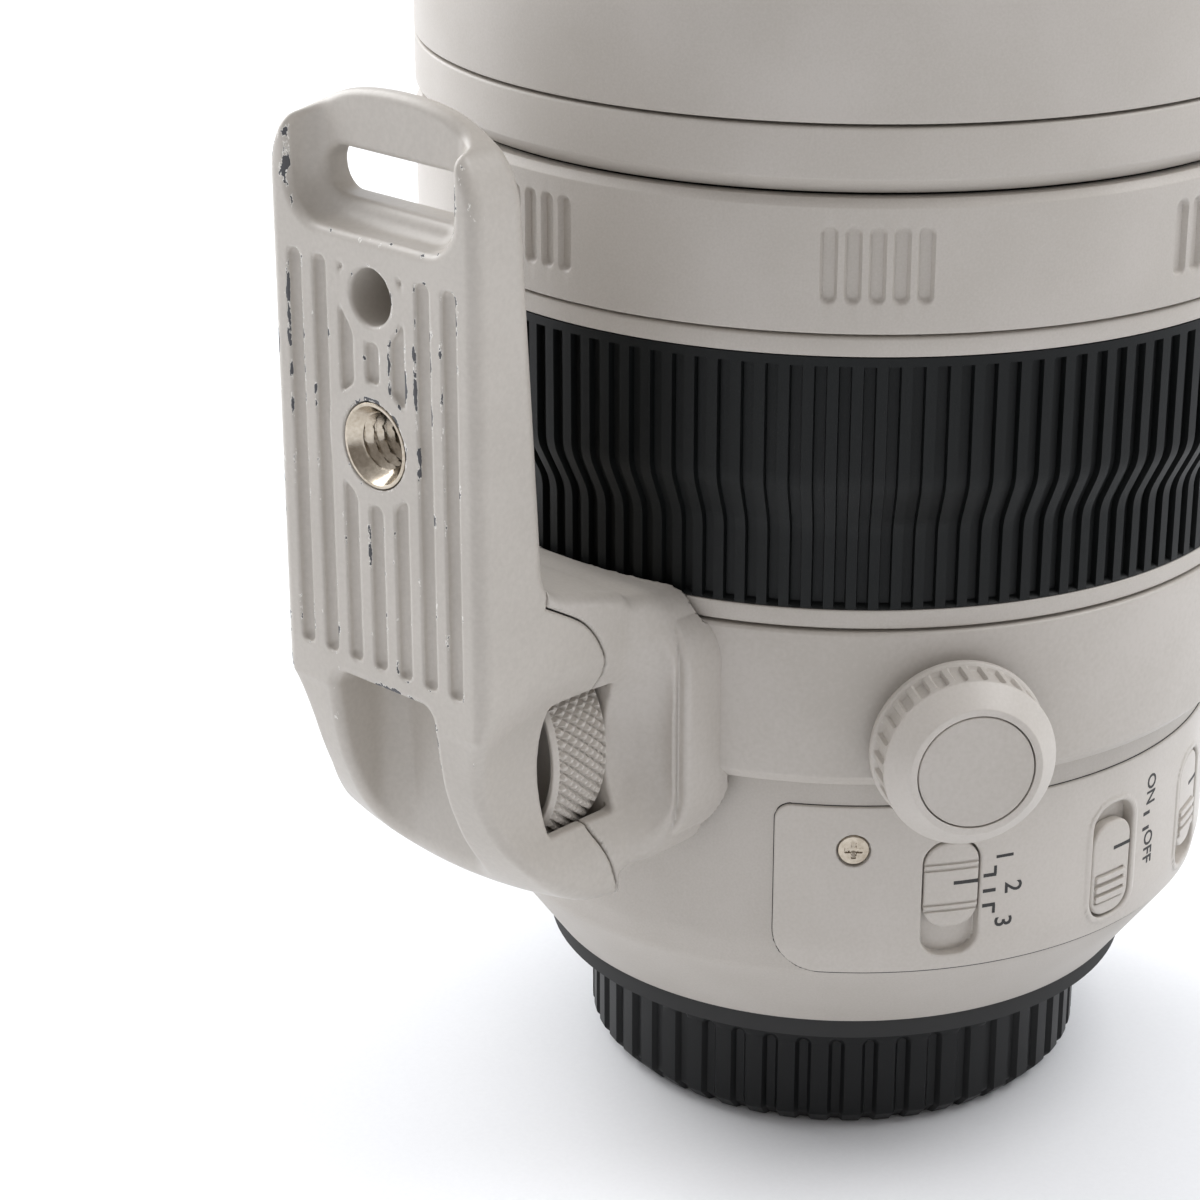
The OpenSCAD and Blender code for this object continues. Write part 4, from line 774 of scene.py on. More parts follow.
@dataclass
class RearCap:
    """Black cap on the mount, with finger grooves round its side."""

    grooves: int = 48
    width: float = 1.4
    depth: float = 0.6
    flank: float = 0.4
    groove_top: float = 11.2
    bevel: float = 1.8
    inner: float = 27.0
    floor: float = 1.4
    # Places across a groove where the mesh is cut, in half widths from its middle
    columns: tuple[float, ...] = (-1.3, -1.1, -0.9, -0.7, -0.35, 0, 0.35, 0.7, 0.9, 1.1, 1.3)

    def build(self) -> None:
        """Makes the cap as one groove's share that is repeated round the axis."""
        _, top, radius = extent("rear_cap")
        half, pitch = self.width / 2, 360 / self.grooves
        outline = rounded([(0, 0), (radius - self.bevel, 0, 0.6), (radius, self.bevel, 0.6), (radius, 6.0)])[:-1]
        outline += [(radius, z) for z in np.linspace(self.bevel + 0.6, self.groove_top - 1.2, 4)]
        outline += [(radius, z) for z in np.linspace(self.groove_top - 0.9, self.groove_top + 0.5, 12)]
        outline += rounded([(radius, 12.0), (radius, top, 0.5), (self.inner, top, 0.3), (self.inner, 9.0)])[1:-1]
        outline += [(self.inner, self.floor), (0, self.floor)]

        def groove(r: np.ndarray, a: np.ndarray, z: np.ndarray) -> np.ndarray:
            """Sinks the groove into the cap's side."""
            form = sunk(np.radians(a - pitch / 2) * radius, z - self.groove_top + half, half, self.depth, self.flank)
            return form * (r > radius - self.bevel - 0.3)

        fine = pitch / 2 + math.degrees(half / radius) * np.array(self.columns)
        share = swept(outline, [0, *fine, pitch], groove, closed=False)
        repeated("rear_cap_shell", share, self.grooves, Finishes.ABS, "rear_cap", ["rear_cap"])


@dataclass
class Switch:
    """One slide switch: its place in the panel, its index mark, and the heights of its ribs or sunk lines."""

    node: str
    angle: float
    low: float
    high: float
    mark: float
    ribs: tuple[float, ...]
    lines: tuple[float, ...]


@dataclass
class RearBarrel:
    """Rear barrel with its switch panel, screws, switches and marks."""

    start: float = 30.8
    end: float = 170.6
    low: float = 26.6
    high: float = 46.1
    low_corner: float = 5.0
    high_corner: float = 1.8
    radius: float = 41.5
    proud: float = 0.28
    thick: float = 1.75
    lip: float = 0.14
    net: float = 0.26
    seat_low: float = 28.0
    seat_high: float = 45.0
    seat_inset: float = 2.4
    seat_depth: float = 1.9
    # Width and sinking of the dark frame round the panel, which is partly a seal and partly painted shade in the seam
    seam_shade_width: float = 0.11
    seam_shade_sunk: float = 0.16
    slot_width: float = 6.3
    slot_low: float = 28.4
    slot_high: float = 41.8
    slot_corner: float = 2.6
    slot_depth: float = 1.3
    slider_gap: float = 0.16
    slider_thick: float = 1.2
    slider_net: float = 0.14
    screw_angles: tuple[float, ...] = (42.2, 159.2)
    screw_z: float = 41.1
    screw_r: float = 1.65
    screw_top: float = 41.42
    screw_base: float = 40.4
    screw_net: float = 0.08
    bore: float = 38.9
    shell: tuple[tuple[float, ...], ...] = ((33.8, 16.8), (40.6, 26.2, 3.0), (41.2, 29.5, 8.0), (41.2, 48.8))
    switches: tuple[Switch, ...] = (
        Switch("mode_switch", 56.6, 31.85, 41.55, 36.9, (), (39.2, 38.5, 34.5, 33.8)),
        Switch("stabiliser_switch", 84.7, 28.7, 39.6, 36.4, (33.2, 32.05, 30.9), ()),
        Switch("focus_switch", 107.6, 30.65, 41.55, 37.8, (35.0, 33.85, 32.7), ()),
        Switch("range_switch", 135.7, 30.25, 39.95, 35.1, (), (38.3, 37.6, 33.0, 32.3)),
    )
    # Angle, height, length and half width of each printed line
    ticks: tuple[tuple[float, float, float, float], ...] = (
        (61.4, 37.3, 1.45, 0.2), (61.4, 35.5, 1.45, 0.2), (61.4, 33.8, 1.45, 0.2), (63.0, 37.8, 0.32, 0.5),
        (63.0, 33.3, 0.32, 0.5), (91.8, 38.6, 1.2, 0.2), (91.8, 36.8, 1.2, 0.2),
    )
    # Text, angle, height and letter size of each printed figure
    figures: tuple[tuple[str, float, float, float], ...] = (
        ("1", 64.5, 39.3, 2.8), ("2", 66.1, 35.5, 2.8), ("3", 64.7, 31.6, 2.8), ("ON", 93.4, 41.3, 2.3),
        ("OFF", 93.4, 34.4, 2.3),
    )

    def along(self, angle: float) -> float:
        """Gives the length along the panel's curve for an angle."""
        return math.radians(angle) * self.radius

    def skin(self, z: np.ndarray) -> np.ndarray:
        """Gives the radius of the panel's outside at a height."""
        radius, height = zip(*rounded(self.shell, 16)[1:-1])
        return np.interp(z, height, radius) + self.proud

    def wrapped(self, points: np.ndarray) -> np.ndarray:
        """Lays flat points of length, height and radius round the lens."""
        return polar(points[:, 2], np.degrees(points[:, 0] / self.radius), points[:, 1])

    def build(self) -> None:
        """Makes the barrel and all that sits in its side."""
        self.build_shell()
        self.build_panel()
        heads = joined([self.screw_head(angle) for angle in self.screw_angles])
        dress(make_object("panel_screw_heads", heads), Finishes.NICKEL, "barrel", ["panel_screws"], crease=40)
        for switch in self.switches:
            self.build_switch(switch)
        self.build_marks()

    def build_shell(self) -> None:
        """Makes the barrel, sunk where the panel lies in it."""
        radius, start = self.shell[-1][0], self.shell[0][1]
        rim = self.shell[0][0] - 0.4
        outer = rounded([(rim, start), (*self.shell[0], 0.25), *self.shell[1:-1], (radius, 44.0)], 16)
        heights, radii = zip(*sorted((z, r) for r, z in outer[6:]))
        outer += [(float(np.interp(z, heights, radii)), z) for z in (self.seat_low - 0.1, self.seat_low + 0.1)]
        outline = [(rim, start)] + sorted(outer[1:], key=lambda point: point[1])
        outline += [(radius, z) for z in (self.seat_high - 0.1, self.seat_high + 0.1)]
        outline += rounded([(radius, 46.0), (radius, 49.1, 0.3), (self.bore, 49.1), (self.bore, 47.0)])[1:-1]
        outline += [(self.bore, 31.0), (37.6, 26.4), (rim, 18.6)]
        first, last = self.start + self.seat_inset, self.end - self.seat_inset

        def seat(r: np.ndarray, a: np.ndarray, z: np.ndarray) -> np.ndarray:
            """Sinks the panel's seat."""
            inside = (band(a, first, last) < 0) & (band(z, self.seat_low, self.seat_high) < 0) & (r > 39.5)
            return np.where(inside, -self.seat_depth, 0)

        edges = [edge + side for edge in (first, last) for side in (-0.1, 0.1)]
        angles = np.sort(np.concatenate([np.linspace(0, 360, 257), edges]))
        piece = make_object("rear_barrel_shell", swept(outline, angles, seat))
        dress(piece, Finishes.LACQUER, "barrel", ["rear_barrel"])

    def build_panel(self) -> None:
        """Makes the curved panel with its slots, and the dark frame round it: partly a rubber seal, partly painted
        shade for the shadow in the seam.
        """
        middle = (self.along(self.start) + self.along(self.end)) / 2
        half = (self.along(self.end) - self.along(self.start)) / 2
        centre, rise = (self.low + self.high) / 2, (self.high - self.low) / 2
        slot_z, slot_rise = (self.slot_low + self.slot_high) / 2, (self.slot_high - self.slot_low) / 2

        def outline(s: np.ndarray, z: np.ndarray, grow: float) -> np.ndarray:
            """Gives the field of the panel's outline, with wide corners at its lower edge."""
            corner = np.where(z < centre, self.low_corner, self.high_corner) + grow
            return rect(s - middle, z - centre, half + grow, rise + grow, corner)

        def panel(s: np.ndarray, z: np.ndarray, r: np.ndarray) -> np.ndarray:
            """Gives the field of the unrolled panel.

            Args:
                s: Length along the panel's curve.
                z: Height.
                r: Radius.

            Returns:
                The field's values.
            """
            top = self.skin(z)
            form = round_and(outline(s, z, 0.0), r - top, 0.22)
            for switch in self.switches:
                across = s - self.along(switch.angle)
                hole = rect(across, z - slot_z, self.slot_width / 2, slot_rise, self.slot_corner)
                if switch.ribs:
                    form = round_or(form, round_and(hole - 0.7, r - top - self.lip, self.lip), 0.1)
                form = round_cut(form, np.maximum(hole, top - self.slot_depth - r), 0.25)
            for angle in self.screw_angles:
                seat = np.hypot(s - self.along(angle), z - self.screw_z) - self.screw_r - 0.14
                form = round_cut(form, np.maximum(seat, top - 0.5 - r), 0.1)
            return np.maximum(form, top - self.thick - r)

        def seal(s: np.ndarray, z: np.ndarray, r: np.ndarray) -> np.ndarray:
            """Gives the field of the dark frame round the panel: partly a seal, partly painted shade in the seam."""
            line = np.maximum(outline(s, z, self.seam_shade_width), -outline(s, z, -0.5))
            return np.maximum(round_and(line, r - self.skin(z) + self.seam_shade_sunk, 0.02), self.skin(z) - 0.9 - r)

        low, high = (middle - half, self.low, 38.7), (middle + half, self.high, self.radius + 0.2)
        piece = cast("switch_panel_plate", panel, low, high, self.net, place=self.wrapped)
        dress(piece, Finishes.PALE_PLASTIC, "barrel", ["switch_panel"])
        # The dark frame in the seam: partly a seal, partly painted shade for the shadow there
        low, high = (low[0] - 0.3, low[1] - 0.3, 38.6), (high[0] + 0.3, high[1] + 0.3, 41.5)
        dress(cast("switch_panel_seal_and_seam_shade", seal, low, high, self.net, place=self.wrapped), Finishes.SEAL, "barrel")

    def screw_head(self, angle: float) -> Mesh:
        """Makes one screw head with a cross recess.

        Args:
            angle: Its angle round the lens.

        Returns:
            Points in their place, and faces.
        """
        spot, reach = self.along(angle), 1.7

        def screw(s: np.ndarray, z: np.ndarray, r: np.ndarray) -> np.ndarray:
            """Gives the field of the unrolled screw head.

            Args:
                s: Length along the panel's curve.
                z: Height.
                r: Radius.

            Returns:
                The field's values.
            """
            u, v = s - spot, z - self.screw_z
            top = self.screw_top - 0.05 * (u ** 2 + v ** 2)
            form = round_and(np.hypot(u, v) - self.screw_r, r - top, 0.12)
            floor = 41.0 + 0.25 * np.maximum(np.abs(u), np.abs(v)) - r
            for a, b in ((u, v), (v, u)):
                form = round_cut(form, np.maximum(rect(a, b, 0.26, 0.95, 0.1), floor), 0.05)
            return np.maximum(form, self.screw_base - r)

        low, high = (spot - reach, self.screw_z - reach, 40.3), (spot + reach, self.screw_z + reach, 41.5)
        points, faces = netted(screw, low, high, self.screw_net)
        return self.wrapped(points), faces

    def build_switch(self, switch: Switch) -> None:
        """Makes one slider with its grip and its index line.

        Args:
            switch: The switch to make.
        """
        spot, middle = self.along(switch.angle), (switch.low + switch.high) / 2
        half, rise = self.slot_width / 2 - self.slider_gap, (switch.high - switch.low) / 2

        def slider(s: np.ndarray, z: np.ndarray, r: np.ndarray) -> np.ndarray:
            """Gives the field of the unrolled slider.

            Args:
                s: Length along the panel's curve.
                z: Height.
                r: Radius.

            Returns:
                The field's values.
            """
            top = self.skin(z) - 0.02
            form = round_and(rect(s - spot, z - middle, half, rise, self.slot_corner - 0.12), r - top, 0.3)
            for line in switch.lines:
                form = round_cut(form, np.maximum(band(z, line - 0.13, line + 0.13), top - 0.22 - r), 0.06)
            if switch.ribs:
                block = rect(s - spot + 0.2, z - switch.ribs[1], half - 0.75, 1.75, 0.3)
                form = round_cut(form, np.maximum(block, top - 0.3 - r), 0.1)
            for rib in switch.ribs:
                bar = np.maximum(rect(s - spot, z - rib, half - 0.6, 0.34, 0.2), r - top - 0.22)
                form = round_or(form, bar, 0.1)
            return np.maximum(form, self.skin(z + 2.0) - self.slider_thick - r)

        low, high = (spot - half, switch.low, 38.8), (spot + half, switch.high, 42.2)
        piece = cast(switch.node + "_slider", slider, low, high, self.slider_net, place=self.wrapped)
        dress(piece, Finishes.PALE_PLASTIC, switch.node, [switch.node])
        left, right, bottom, top = spot + 0.2, spot + half - 0.1, switch.mark - 0.2, switch.mark + 0.2
        line = [(left, bottom), (right, bottom), (right, top), (left, top)]
        dress(self.printed(switch.node + "_index", [line], 0.02), Finishes.INK, switch.node)

    def printed(self, name: str, shapes: Sequence[Outline], rise: float = 0.03) -> bpy.types.Object:
        """Makes thin printed marks on the panel's skin.

        Args:
            name: Name of the piece.
            shapes: Four-cornered marks as length along the panel and height.
            rise: Height of the ink's face over the panel's skin.

        Returns:
            The new object.
        """
        meshes = []
        faces = np.array([[0, 1, 2, 3], [7, 6, 5, 4], [4, 5, 1, 0], [5, 6, 2, 1], [6, 7, 3, 2], [7, 4, 0, 3]])
        for shape in shapes:
            flat = np.array(shape * 2)
            lift = np.repeat([rise, -0.15], 4)
            meshes.append((self.wrapped(np.column_stack([flat, self.skin(flat[:, 1]) + lift])), faces))
        return make_object(name, joined(meshes))

    def lettered(self) -> bpy.types.Object:
        """Makes the printed figures, which read down the panel.

        Returns:
            The new object.
        """
        meshes = []
        for text, angle, height, size in self.figures:
            curve = bpy.data.curves.new("figures", "FONT")
            curve.body, curve.size, curve.align_x, curve.align_y = text, size, "CENTER", "CENTER"
            curve.extrude, curve.offset, curve.resolution_u = 0.05, 0.03, 3
            holder = bpy.data.objects.new("figures", curve)
            bpy.context.scene.collection.objects.link(holder)
            mesh = bpy.data.meshes.new_from_object(holder.evaluated_get(bpy.context.evaluated_depsgraph_get()))
            bpy.data.objects.remove(holder)
            work = bmesh.new()
            work.from_mesh(mesh)
            bmesh.ops.triangulate(work, faces=work.faces)
            flat = np.array([v.co for v in work.verts])
            faces = np.array([[v.index for v in f.verts] for f in work.faces])
            work.free()
            s, z = self.along(angle) + flat[:, 1], height - flat[:, 0]
            meshes.append((self.wrapped(np.column_stack([s, z, self.skin(z) + flat[:, 2] - 0.02])), faces))
        return make_object("panel_figures", joined(meshes))

    def build_marks(self) -> None:
        """Prints the numbers of the mode switch and the two states of the next one."""
        lines = []
        for angle, z, wide, high in self.ticks:
            s = self.along(angle)
            lines.append([(s, z - high), (s + wide, z - high), (s + wide, z + high), (s, z + high)])
        dress(self.printed("panel_ticks", lines), Finishes.INK, "barrel")
        dress(self.lettered(), Finishes.INK, "barrel")


def eased(points: Outline, steps: int) -> Outline:
    """Gives points on a smooth curve through the given ones.

    Args:
        points: Points that the curve goes through.
        steps: Straight pieces from one to the next.

    Returns:
        The curve's points.
    """
    spots = np.array([points[0], *points, points[-1]])
    curve = []
    for a, b, c, d in zip(spots, spots[1:], spots[2:], spots[3:]):
        for t in np.arange(steps) / steps:
            curve.append(tuple(b + 0.5 * t * (c - a + t * (2 * a - 5 * b + 4 * c - d + t * (3 * (b - c) + d - a)))))
    return curve + [points[-1]]


# Side of the seam where the pedestal lies, as distance from the axis and height
SEAM: Outline = [(30.0, 30.0), (50.8, 30.0)] + eased([
    (51.0, 38.0), (51.9, 41.2), (52.5, 42.9), (53.5, 45.1), (54.6, 47.8), (54.6, 54.0), (54.0, 61.0), (53.2, 63.6),
    (53.2, 65.3), (53.5, 66.4), (54.6, 68.4), (56.4, 70.3), (58.8, 71.8), (61.3, 73.2)], 4) + [
    (60.8, 76.0), (30.0, 80.0)]

# Foot below its face, as distance from the axis and height
HEEL: Outline = eased([
    (70.0, 62.6), (69.9, 60.0), (69.6, 57.0), (69.1, 54.0), (68.2, 51.0), (66.9, 48.0), (65.0, 45.0), (62.5, 42.2),
    (59.4, 39.8), (55.8, 38.0), (51.0, 37.0)], 4) + [(40.0, 37.0), (40.0, 75.0), (70.0, 75.0)]

# Visor that the pedestal reaches up behind the foot, as distance from the axis and height
VISOR: Outline = [(30.0, 41.8), (50.0, 41.2), (54.0, 44.0), (62.0, 60.0), (62.5, 74.2), (44.3, 69.3), (30.0, 69.3)]


@dataclass
class TripodMount:
    """Pedestal and foot, which are one form that a seam divides."""

    low: float = 36.0
    half: float = 14.3
    face: float = 70.0
    face_low: float = 63.0
    top: float = 122.0
    arch: float = 21.0
    nose: float = 4.6
    heel_top: float = 62.6
    heel_arch: float = 60.0
    edge: float = 1.5
    # Heights along the plate, and how far its back is from the axis there
    back_z: tuple[float, ...] = (76, 90, 105, 122)
    back_out: tuple[float, ...] = (61.2, 62.0, 62.9, 63.8)
    pad_half: float = 18.0
    pad_low: float = 42.0
    pad_top: float = 69.2
    pad_corner: float = 7.0
    pad_face: float = 46.0
    rim: float = 1.3
    neck: float = 50.6
    neck_fillet: float = 4.6
    seam: float = 0.08
    seam_edge: float = 0.2
    dish_r: float = 16.2
    dish_away: float = 12.9
    dish_out: float = 57.0
    dish_stretch: float = 1.9
    room_r: float = 13.4
    room_out: tuple[float, float] = (50.6, 59.0)
    window_z: tuple[float, float] = (47.5, 61.8)
    window_out: tuple[float, float] = (50.7, 59.5)
    scoop_half: float = 11.2
    scoop_low: float = 108.6
    scoop_depth: float = 3.3
    slot_z: float = 113.1
    slot_half: tuple[float, float] = (9.5, 2.3)
    slot_corner: float = 2.2
    hollow_half: float = 7.0
    hollow_depth: float = 8.0
    groove_pitch: float = 3.55
    groove_width: float = 1.7
    groove_depth: float = 0.75
    groove_low: float = 65.3
    groove_high: float = 105.6
    bush_z: float = 88.3
    bush_r: float = 4.25
    bore_r: float = 2.95
    bush_l: float = 7.5
    bush_clear: float = 6.2
    thread_pitch: float = 1.27
    pin_z: float = 102.9
    pin_r: float = 2.75
    pin_depth: float = 5.5
    pin_clear: float = 4.5
    horns: tuple[tuple[float, float], ...] = ((-13.6, 113.5), (11.5, 112.5))
    wheel_z: float = 54.5
    wheel_r: float = 13.0
    wheel_back: float = 51.0
    wheel_face: float = 55.8
    knurl_low: float = 51.5
    knurl_high: float = 57.7
    knurl_pitch: float = 0.72
    teeth: int = 64

    def build(self) -> None:
        """Makes the pedestal, the foot, its bush and the thumbwheel."""
        low, high = (-self.pad_half, -62.5, self.low), (self.pad_half, -36.0, 77.0)
        dress(cast("collar_pedestal", self.pedestal, low, high, 0.34), Finishes.COLLAR_PAINT, "collar")
        low, high = (-self.half, -self.face, self.low), (self.half, -50.0, self.top)
        dress(cast("foot_casting", self.foot, low, high, 0.32, self.knocks), Finishes.CAST_PAINT, "collar", ["foot"])
        self.build_bush()
        self.build_wheel()

    def hub(self, x: np.ndarray, out: np.ndarray, z: np.ndarray) -> np.ndarray:
        """Gives the field of the foot's plate, its arm and the pedestal's visor, with all that is cut from both.

        Args:
            x: Distance to the foot's right.
            out: Distance from the lens's axis.
            z: Height.

        Returns:
            The field's values.
        """
        wide = np.abs(x)
        back = np.interp(z, self.back_z, self.back_out) - out
        front = round_and(out - self.face, z - self.top, self.nose)
        plate = round_and(front, np.maximum(back, self.face_low - z), 2.0)
        arm = polygon(out, z, HEEL) + x ** 2 / self.heel_arch / 2 * np.clip((self.heel_top - z) / 12, 0, 1)
        arm = np.maximum(arm, np.maximum(self.neck - out, z - 70.0 - 0.27 * (out - 47.0)))
        form = np.maximum(round_or(round_or(plate, arm, 3.0), polygon(out, z, VISOR), 1.5), out - self.face)
        ends = round_and(np.hypot(x, np.maximum(z - self.top + self.arch, 0)) - self.arch, wide - self.half, 3.0)
        form = round_and(form, np.where(z > self.top - self.arch, ends, wide - self.half), self.edge)
        away = ((out - self.dish_out) / self.dish_stretch) ** 2 + (z - self.wheel_z) ** 2
        dish = np.sqrt(away + (wide - self.half - self.dish_away) ** 2) - self.dish_r
        room = np.maximum(np.hypot(x, z - self.wheel_z) - self.room_r, band(out, *self.room_out))
        window = round_and(band(z, *self.window_z), band(out, *self.window_out), 0.6)
        return round_cut(round_cut(form, dish, 1.2), np.minimum(room, window), 0.35)

    def pedestal(self, x: np.ndarray, y: np.ndarray, z: np.ndarray) -> np.ndarray:
        """Gives the field of the pad with its neck, up to the seam.

        Args:
            x: Distance to the foot's right.
            y: Distance behind the lens's axis.
            z: Height.

        Returns:
            The field's values.
        """
        out, middle, rise = -y, (self.pad_low + self.pad_top) / 2, (self.pad_top - self.pad_low) / 2
        pad = rect(x, z - middle, self.pad_half, rise, self.pad_corner)
        form = round_and(pad, out - self.pad_face + 0.6, 0.7)
        core = round_and(pad + self.rim, out - self.pad_face, 0.2)
        upper = round_and(self.hub(x, out, z), polygon(out, z, SEAM) + self.seam, self.seam_edge)
        form = np.minimum(form, round_or(core, upper, self.neck_fillet))
        clear = 43.0 + 1.5 * np.clip((z - 65.3) / 1.2, 0, 1) - np.hypot(x, y)
        return np.maximum(form, clear)

    def foot(self, x: np.ndarray, y: np.ndarray, z: np.ndarray) -> np.ndarray:
        """Gives the field of the foot, down to the seam.

        Args:
            x: Distance to the foot's right.
            y: Distance behind the lens's axis.
            z: Height.

        Returns:
            The field's values.
        """
        out, wide, depth = -y, np.abs(x), self.face + y
        form = round_and(self.hub(x, out, z), self.seam - polygon(out, z, SEAM), self.seam_edge)
        scoop = round_and(wide - self.scoop_half, self.scoop_low - z, 4.0)
        hollow = round_and(wide - self.hollow_half, z - self.face_low, 1.6)
        bush = np.hypot(x, z - self.bush_z) - self.bush_r - 0.1
        pin = np.hypot(x, z - self.pin_z) - self.pin_r
        cuts = (
            (round_and(scoop, depth - self.scoop_depth, 2.4), 1.0),
            (rect(x, z - self.slot_z, *self.slot_half, self.slot_corner), 0.9),
            (round_and(hollow, depth - self.hollow_depth, 3.0), 1.1),
            (self.grooves(x, out, z), 0.3),
            (np.maximum(bush, depth - self.bush_l - 0.1), 0.12),
            (np.maximum(pin, depth - self.pin_depth), 0.4),
        )
        for cut, ease in cuts:
            form = round_cut(form, cut, ease)
        return form

    def grooves(self, x: np.ndarray, out: np.ndarray, z: np.ndarray) -> np.ndarray:
        """Gives the field of the grip grooves, which stop short of the bush and the pin hole.

        Args:
            x: Distance to the foot's right.
            out: Distance from the lens's axis.
            z: Height.

        Returns:
            The field's values.
        """
        middle, rise = (self.groove_low + self.groove_high) / 2, (self.groove_high - self.groove_low) / 2
        near = x - self.groove_pitch * np.clip(np.round(x / self.groove_pitch), -3, 3)
        flat = rect(near, z - middle, self.groove_width / 2, rise, 0.7)
        for height, clear in ((self.bush_z, self.bush_clear), (self.pin_z, self.pin_clear)):
            flat = round_and(flat, clear - np.hypot(x, z - height), 0.6)
        return round_and(flat, self.face - self.groove_depth - out, 0.6)

    def knocks(self, x: np.ndarray, y: np.ndarray, z: np.ndarray) -> np.ndarray:
        """Gives how often each place of the foot is knocked: its left edge and the horns by the strap slot most.

        Args:
            x: Distance to the foot's right.
            y: Distance behind the lens's axis.
            z: Height.

        Returns:
            The share of wear at each place.
        """
        out = -y
        left = np.exp(-((x + 13.8) / 1.2) ** 2) * (out > 67.5) * (z > 60) * (z < 116)
        heel = np.exp(-(np.hypot(x - 8.5, z - 55.0) / 5.5) ** 2) + np.exp(-((x / 6) ** 2 + (z - 63.5) ** 2))
        horns = sum(np.exp(-((x - a) ** 2 + (out - 69) ** 2 + (z - c) ** 2) / 8) for a, c in self.horns)
        ridges = 0.55 * (np.abs(x) < 12.6) * (out > 69.2)
        bush = 0.5 * np.exp(-((np.hypot(x, z - self.bush_z) - 5.0) / 0.8) ** 2) * (x < 1)
        return np.clip(0.25 + 1.1 * left + 1.1 * horns + 0.6 * heel * (out > 64) + ridges + bush, 0, 1.6)

    def build_bush(self) -> None:
        """Makes the bush with its countersink and its thread."""
        start, end = self.face - self.bush_l, self.face - 0.05
        cone = end - 1.1
        outline = rounded([
            (self.bore_r, start), (self.bush_r, start), (self.bush_r, end, 0.12), (self.bush_r - 0.35, end, 0.05),
            (self.bore_r + 0.2, cone)], 3)
        outline += [(self.bore_r, z) for z in np.arange(cone - 0.1, start + 0.1, -0.1)]

        def thread(r: np.ndarray, a: np.ndarray, z: np.ndarray) -> np.ndarray:
            """Cuts the thread into the bore."""
            ridge = 0.36 - 0.72 * np.abs(2 * np.mod(z / self.thread_pitch + a / 360, 1) - 1)
            return np.where(r < self.bore_r + 0.01, ridge * np.clip((cone - z) / 0.3, 0, 1), 0)

        points, faces = swept(outline, np.linspace(0, 360, 97), thread)
        piece = make_object("tripod_bush_sleeve", (moved(points, outward(0, self.bush_z)), faces))
        dress(piece, Finishes.NICKEL, "collar", ["tripod_bush"], crease=40)

    def build_wheel(self) -> None:
        """Makes the thumbwheel, with a dished front, as one tooth's share that is repeated round its axis."""
        root, pitch, back = self.wheel_r - 0.1, 360 / self.teeth, self.wheel_back
        outline = [(0, back)]
        outline += rounded([(0, back), (root - 1.0, back, 0.3), (root - 0.4, 51.4, 0.1), (root, 52.0)])[1:-1]
        rows = np.arange(self.knurl_low, self.knurl_high + 0.01, 0.13)
        outline += [(root - 0.45 * ((z - 54.6) / 3.3) ** 4, z) for z in rows]
        outline += rounded([
            (root - 0.45, 57.6), (root - 0.5, 57.9, 0.1), (root - 0.9, 58.4, 0.2), (root - 1.5, 58.2, 0.3),
            (root - 2.4, self.wheel_face), (0, self.wheel_face)])[1:]

        def knurl(r: np.ndarray, a: np.ndarray, z: np.ndarray) -> np.ndarray:
            """Cuts two crossing sets of grooves.

            Args:
                r: Radius.
                a: Angle in degrees.
                z: Height.

            Returns:
                The change of radius.
            """
            up = (z - self.knurl_low) / self.knurl_pitch
            lines = [np.abs(np.mod(a / pitch + sign * up, 1) - 0.5) for sign in (0.5, -0.5)]
            return -2.2 * np.clip(0.3 - np.minimum(*lines), 0, 0.3) * (band(z, 51.45, 57.75) < 0) * (r > root - 0.8)

        share = swept(outline, np.linspace(0, pitch, 13), knurl, closed=False)
        repeated("thumbwheel_knurled", share, self.teeth, Finishes.PALE_PLASTIC, "thumbwheel", ["thumbwheel"],
                 outward(0, self.wheel_z), crease=25)


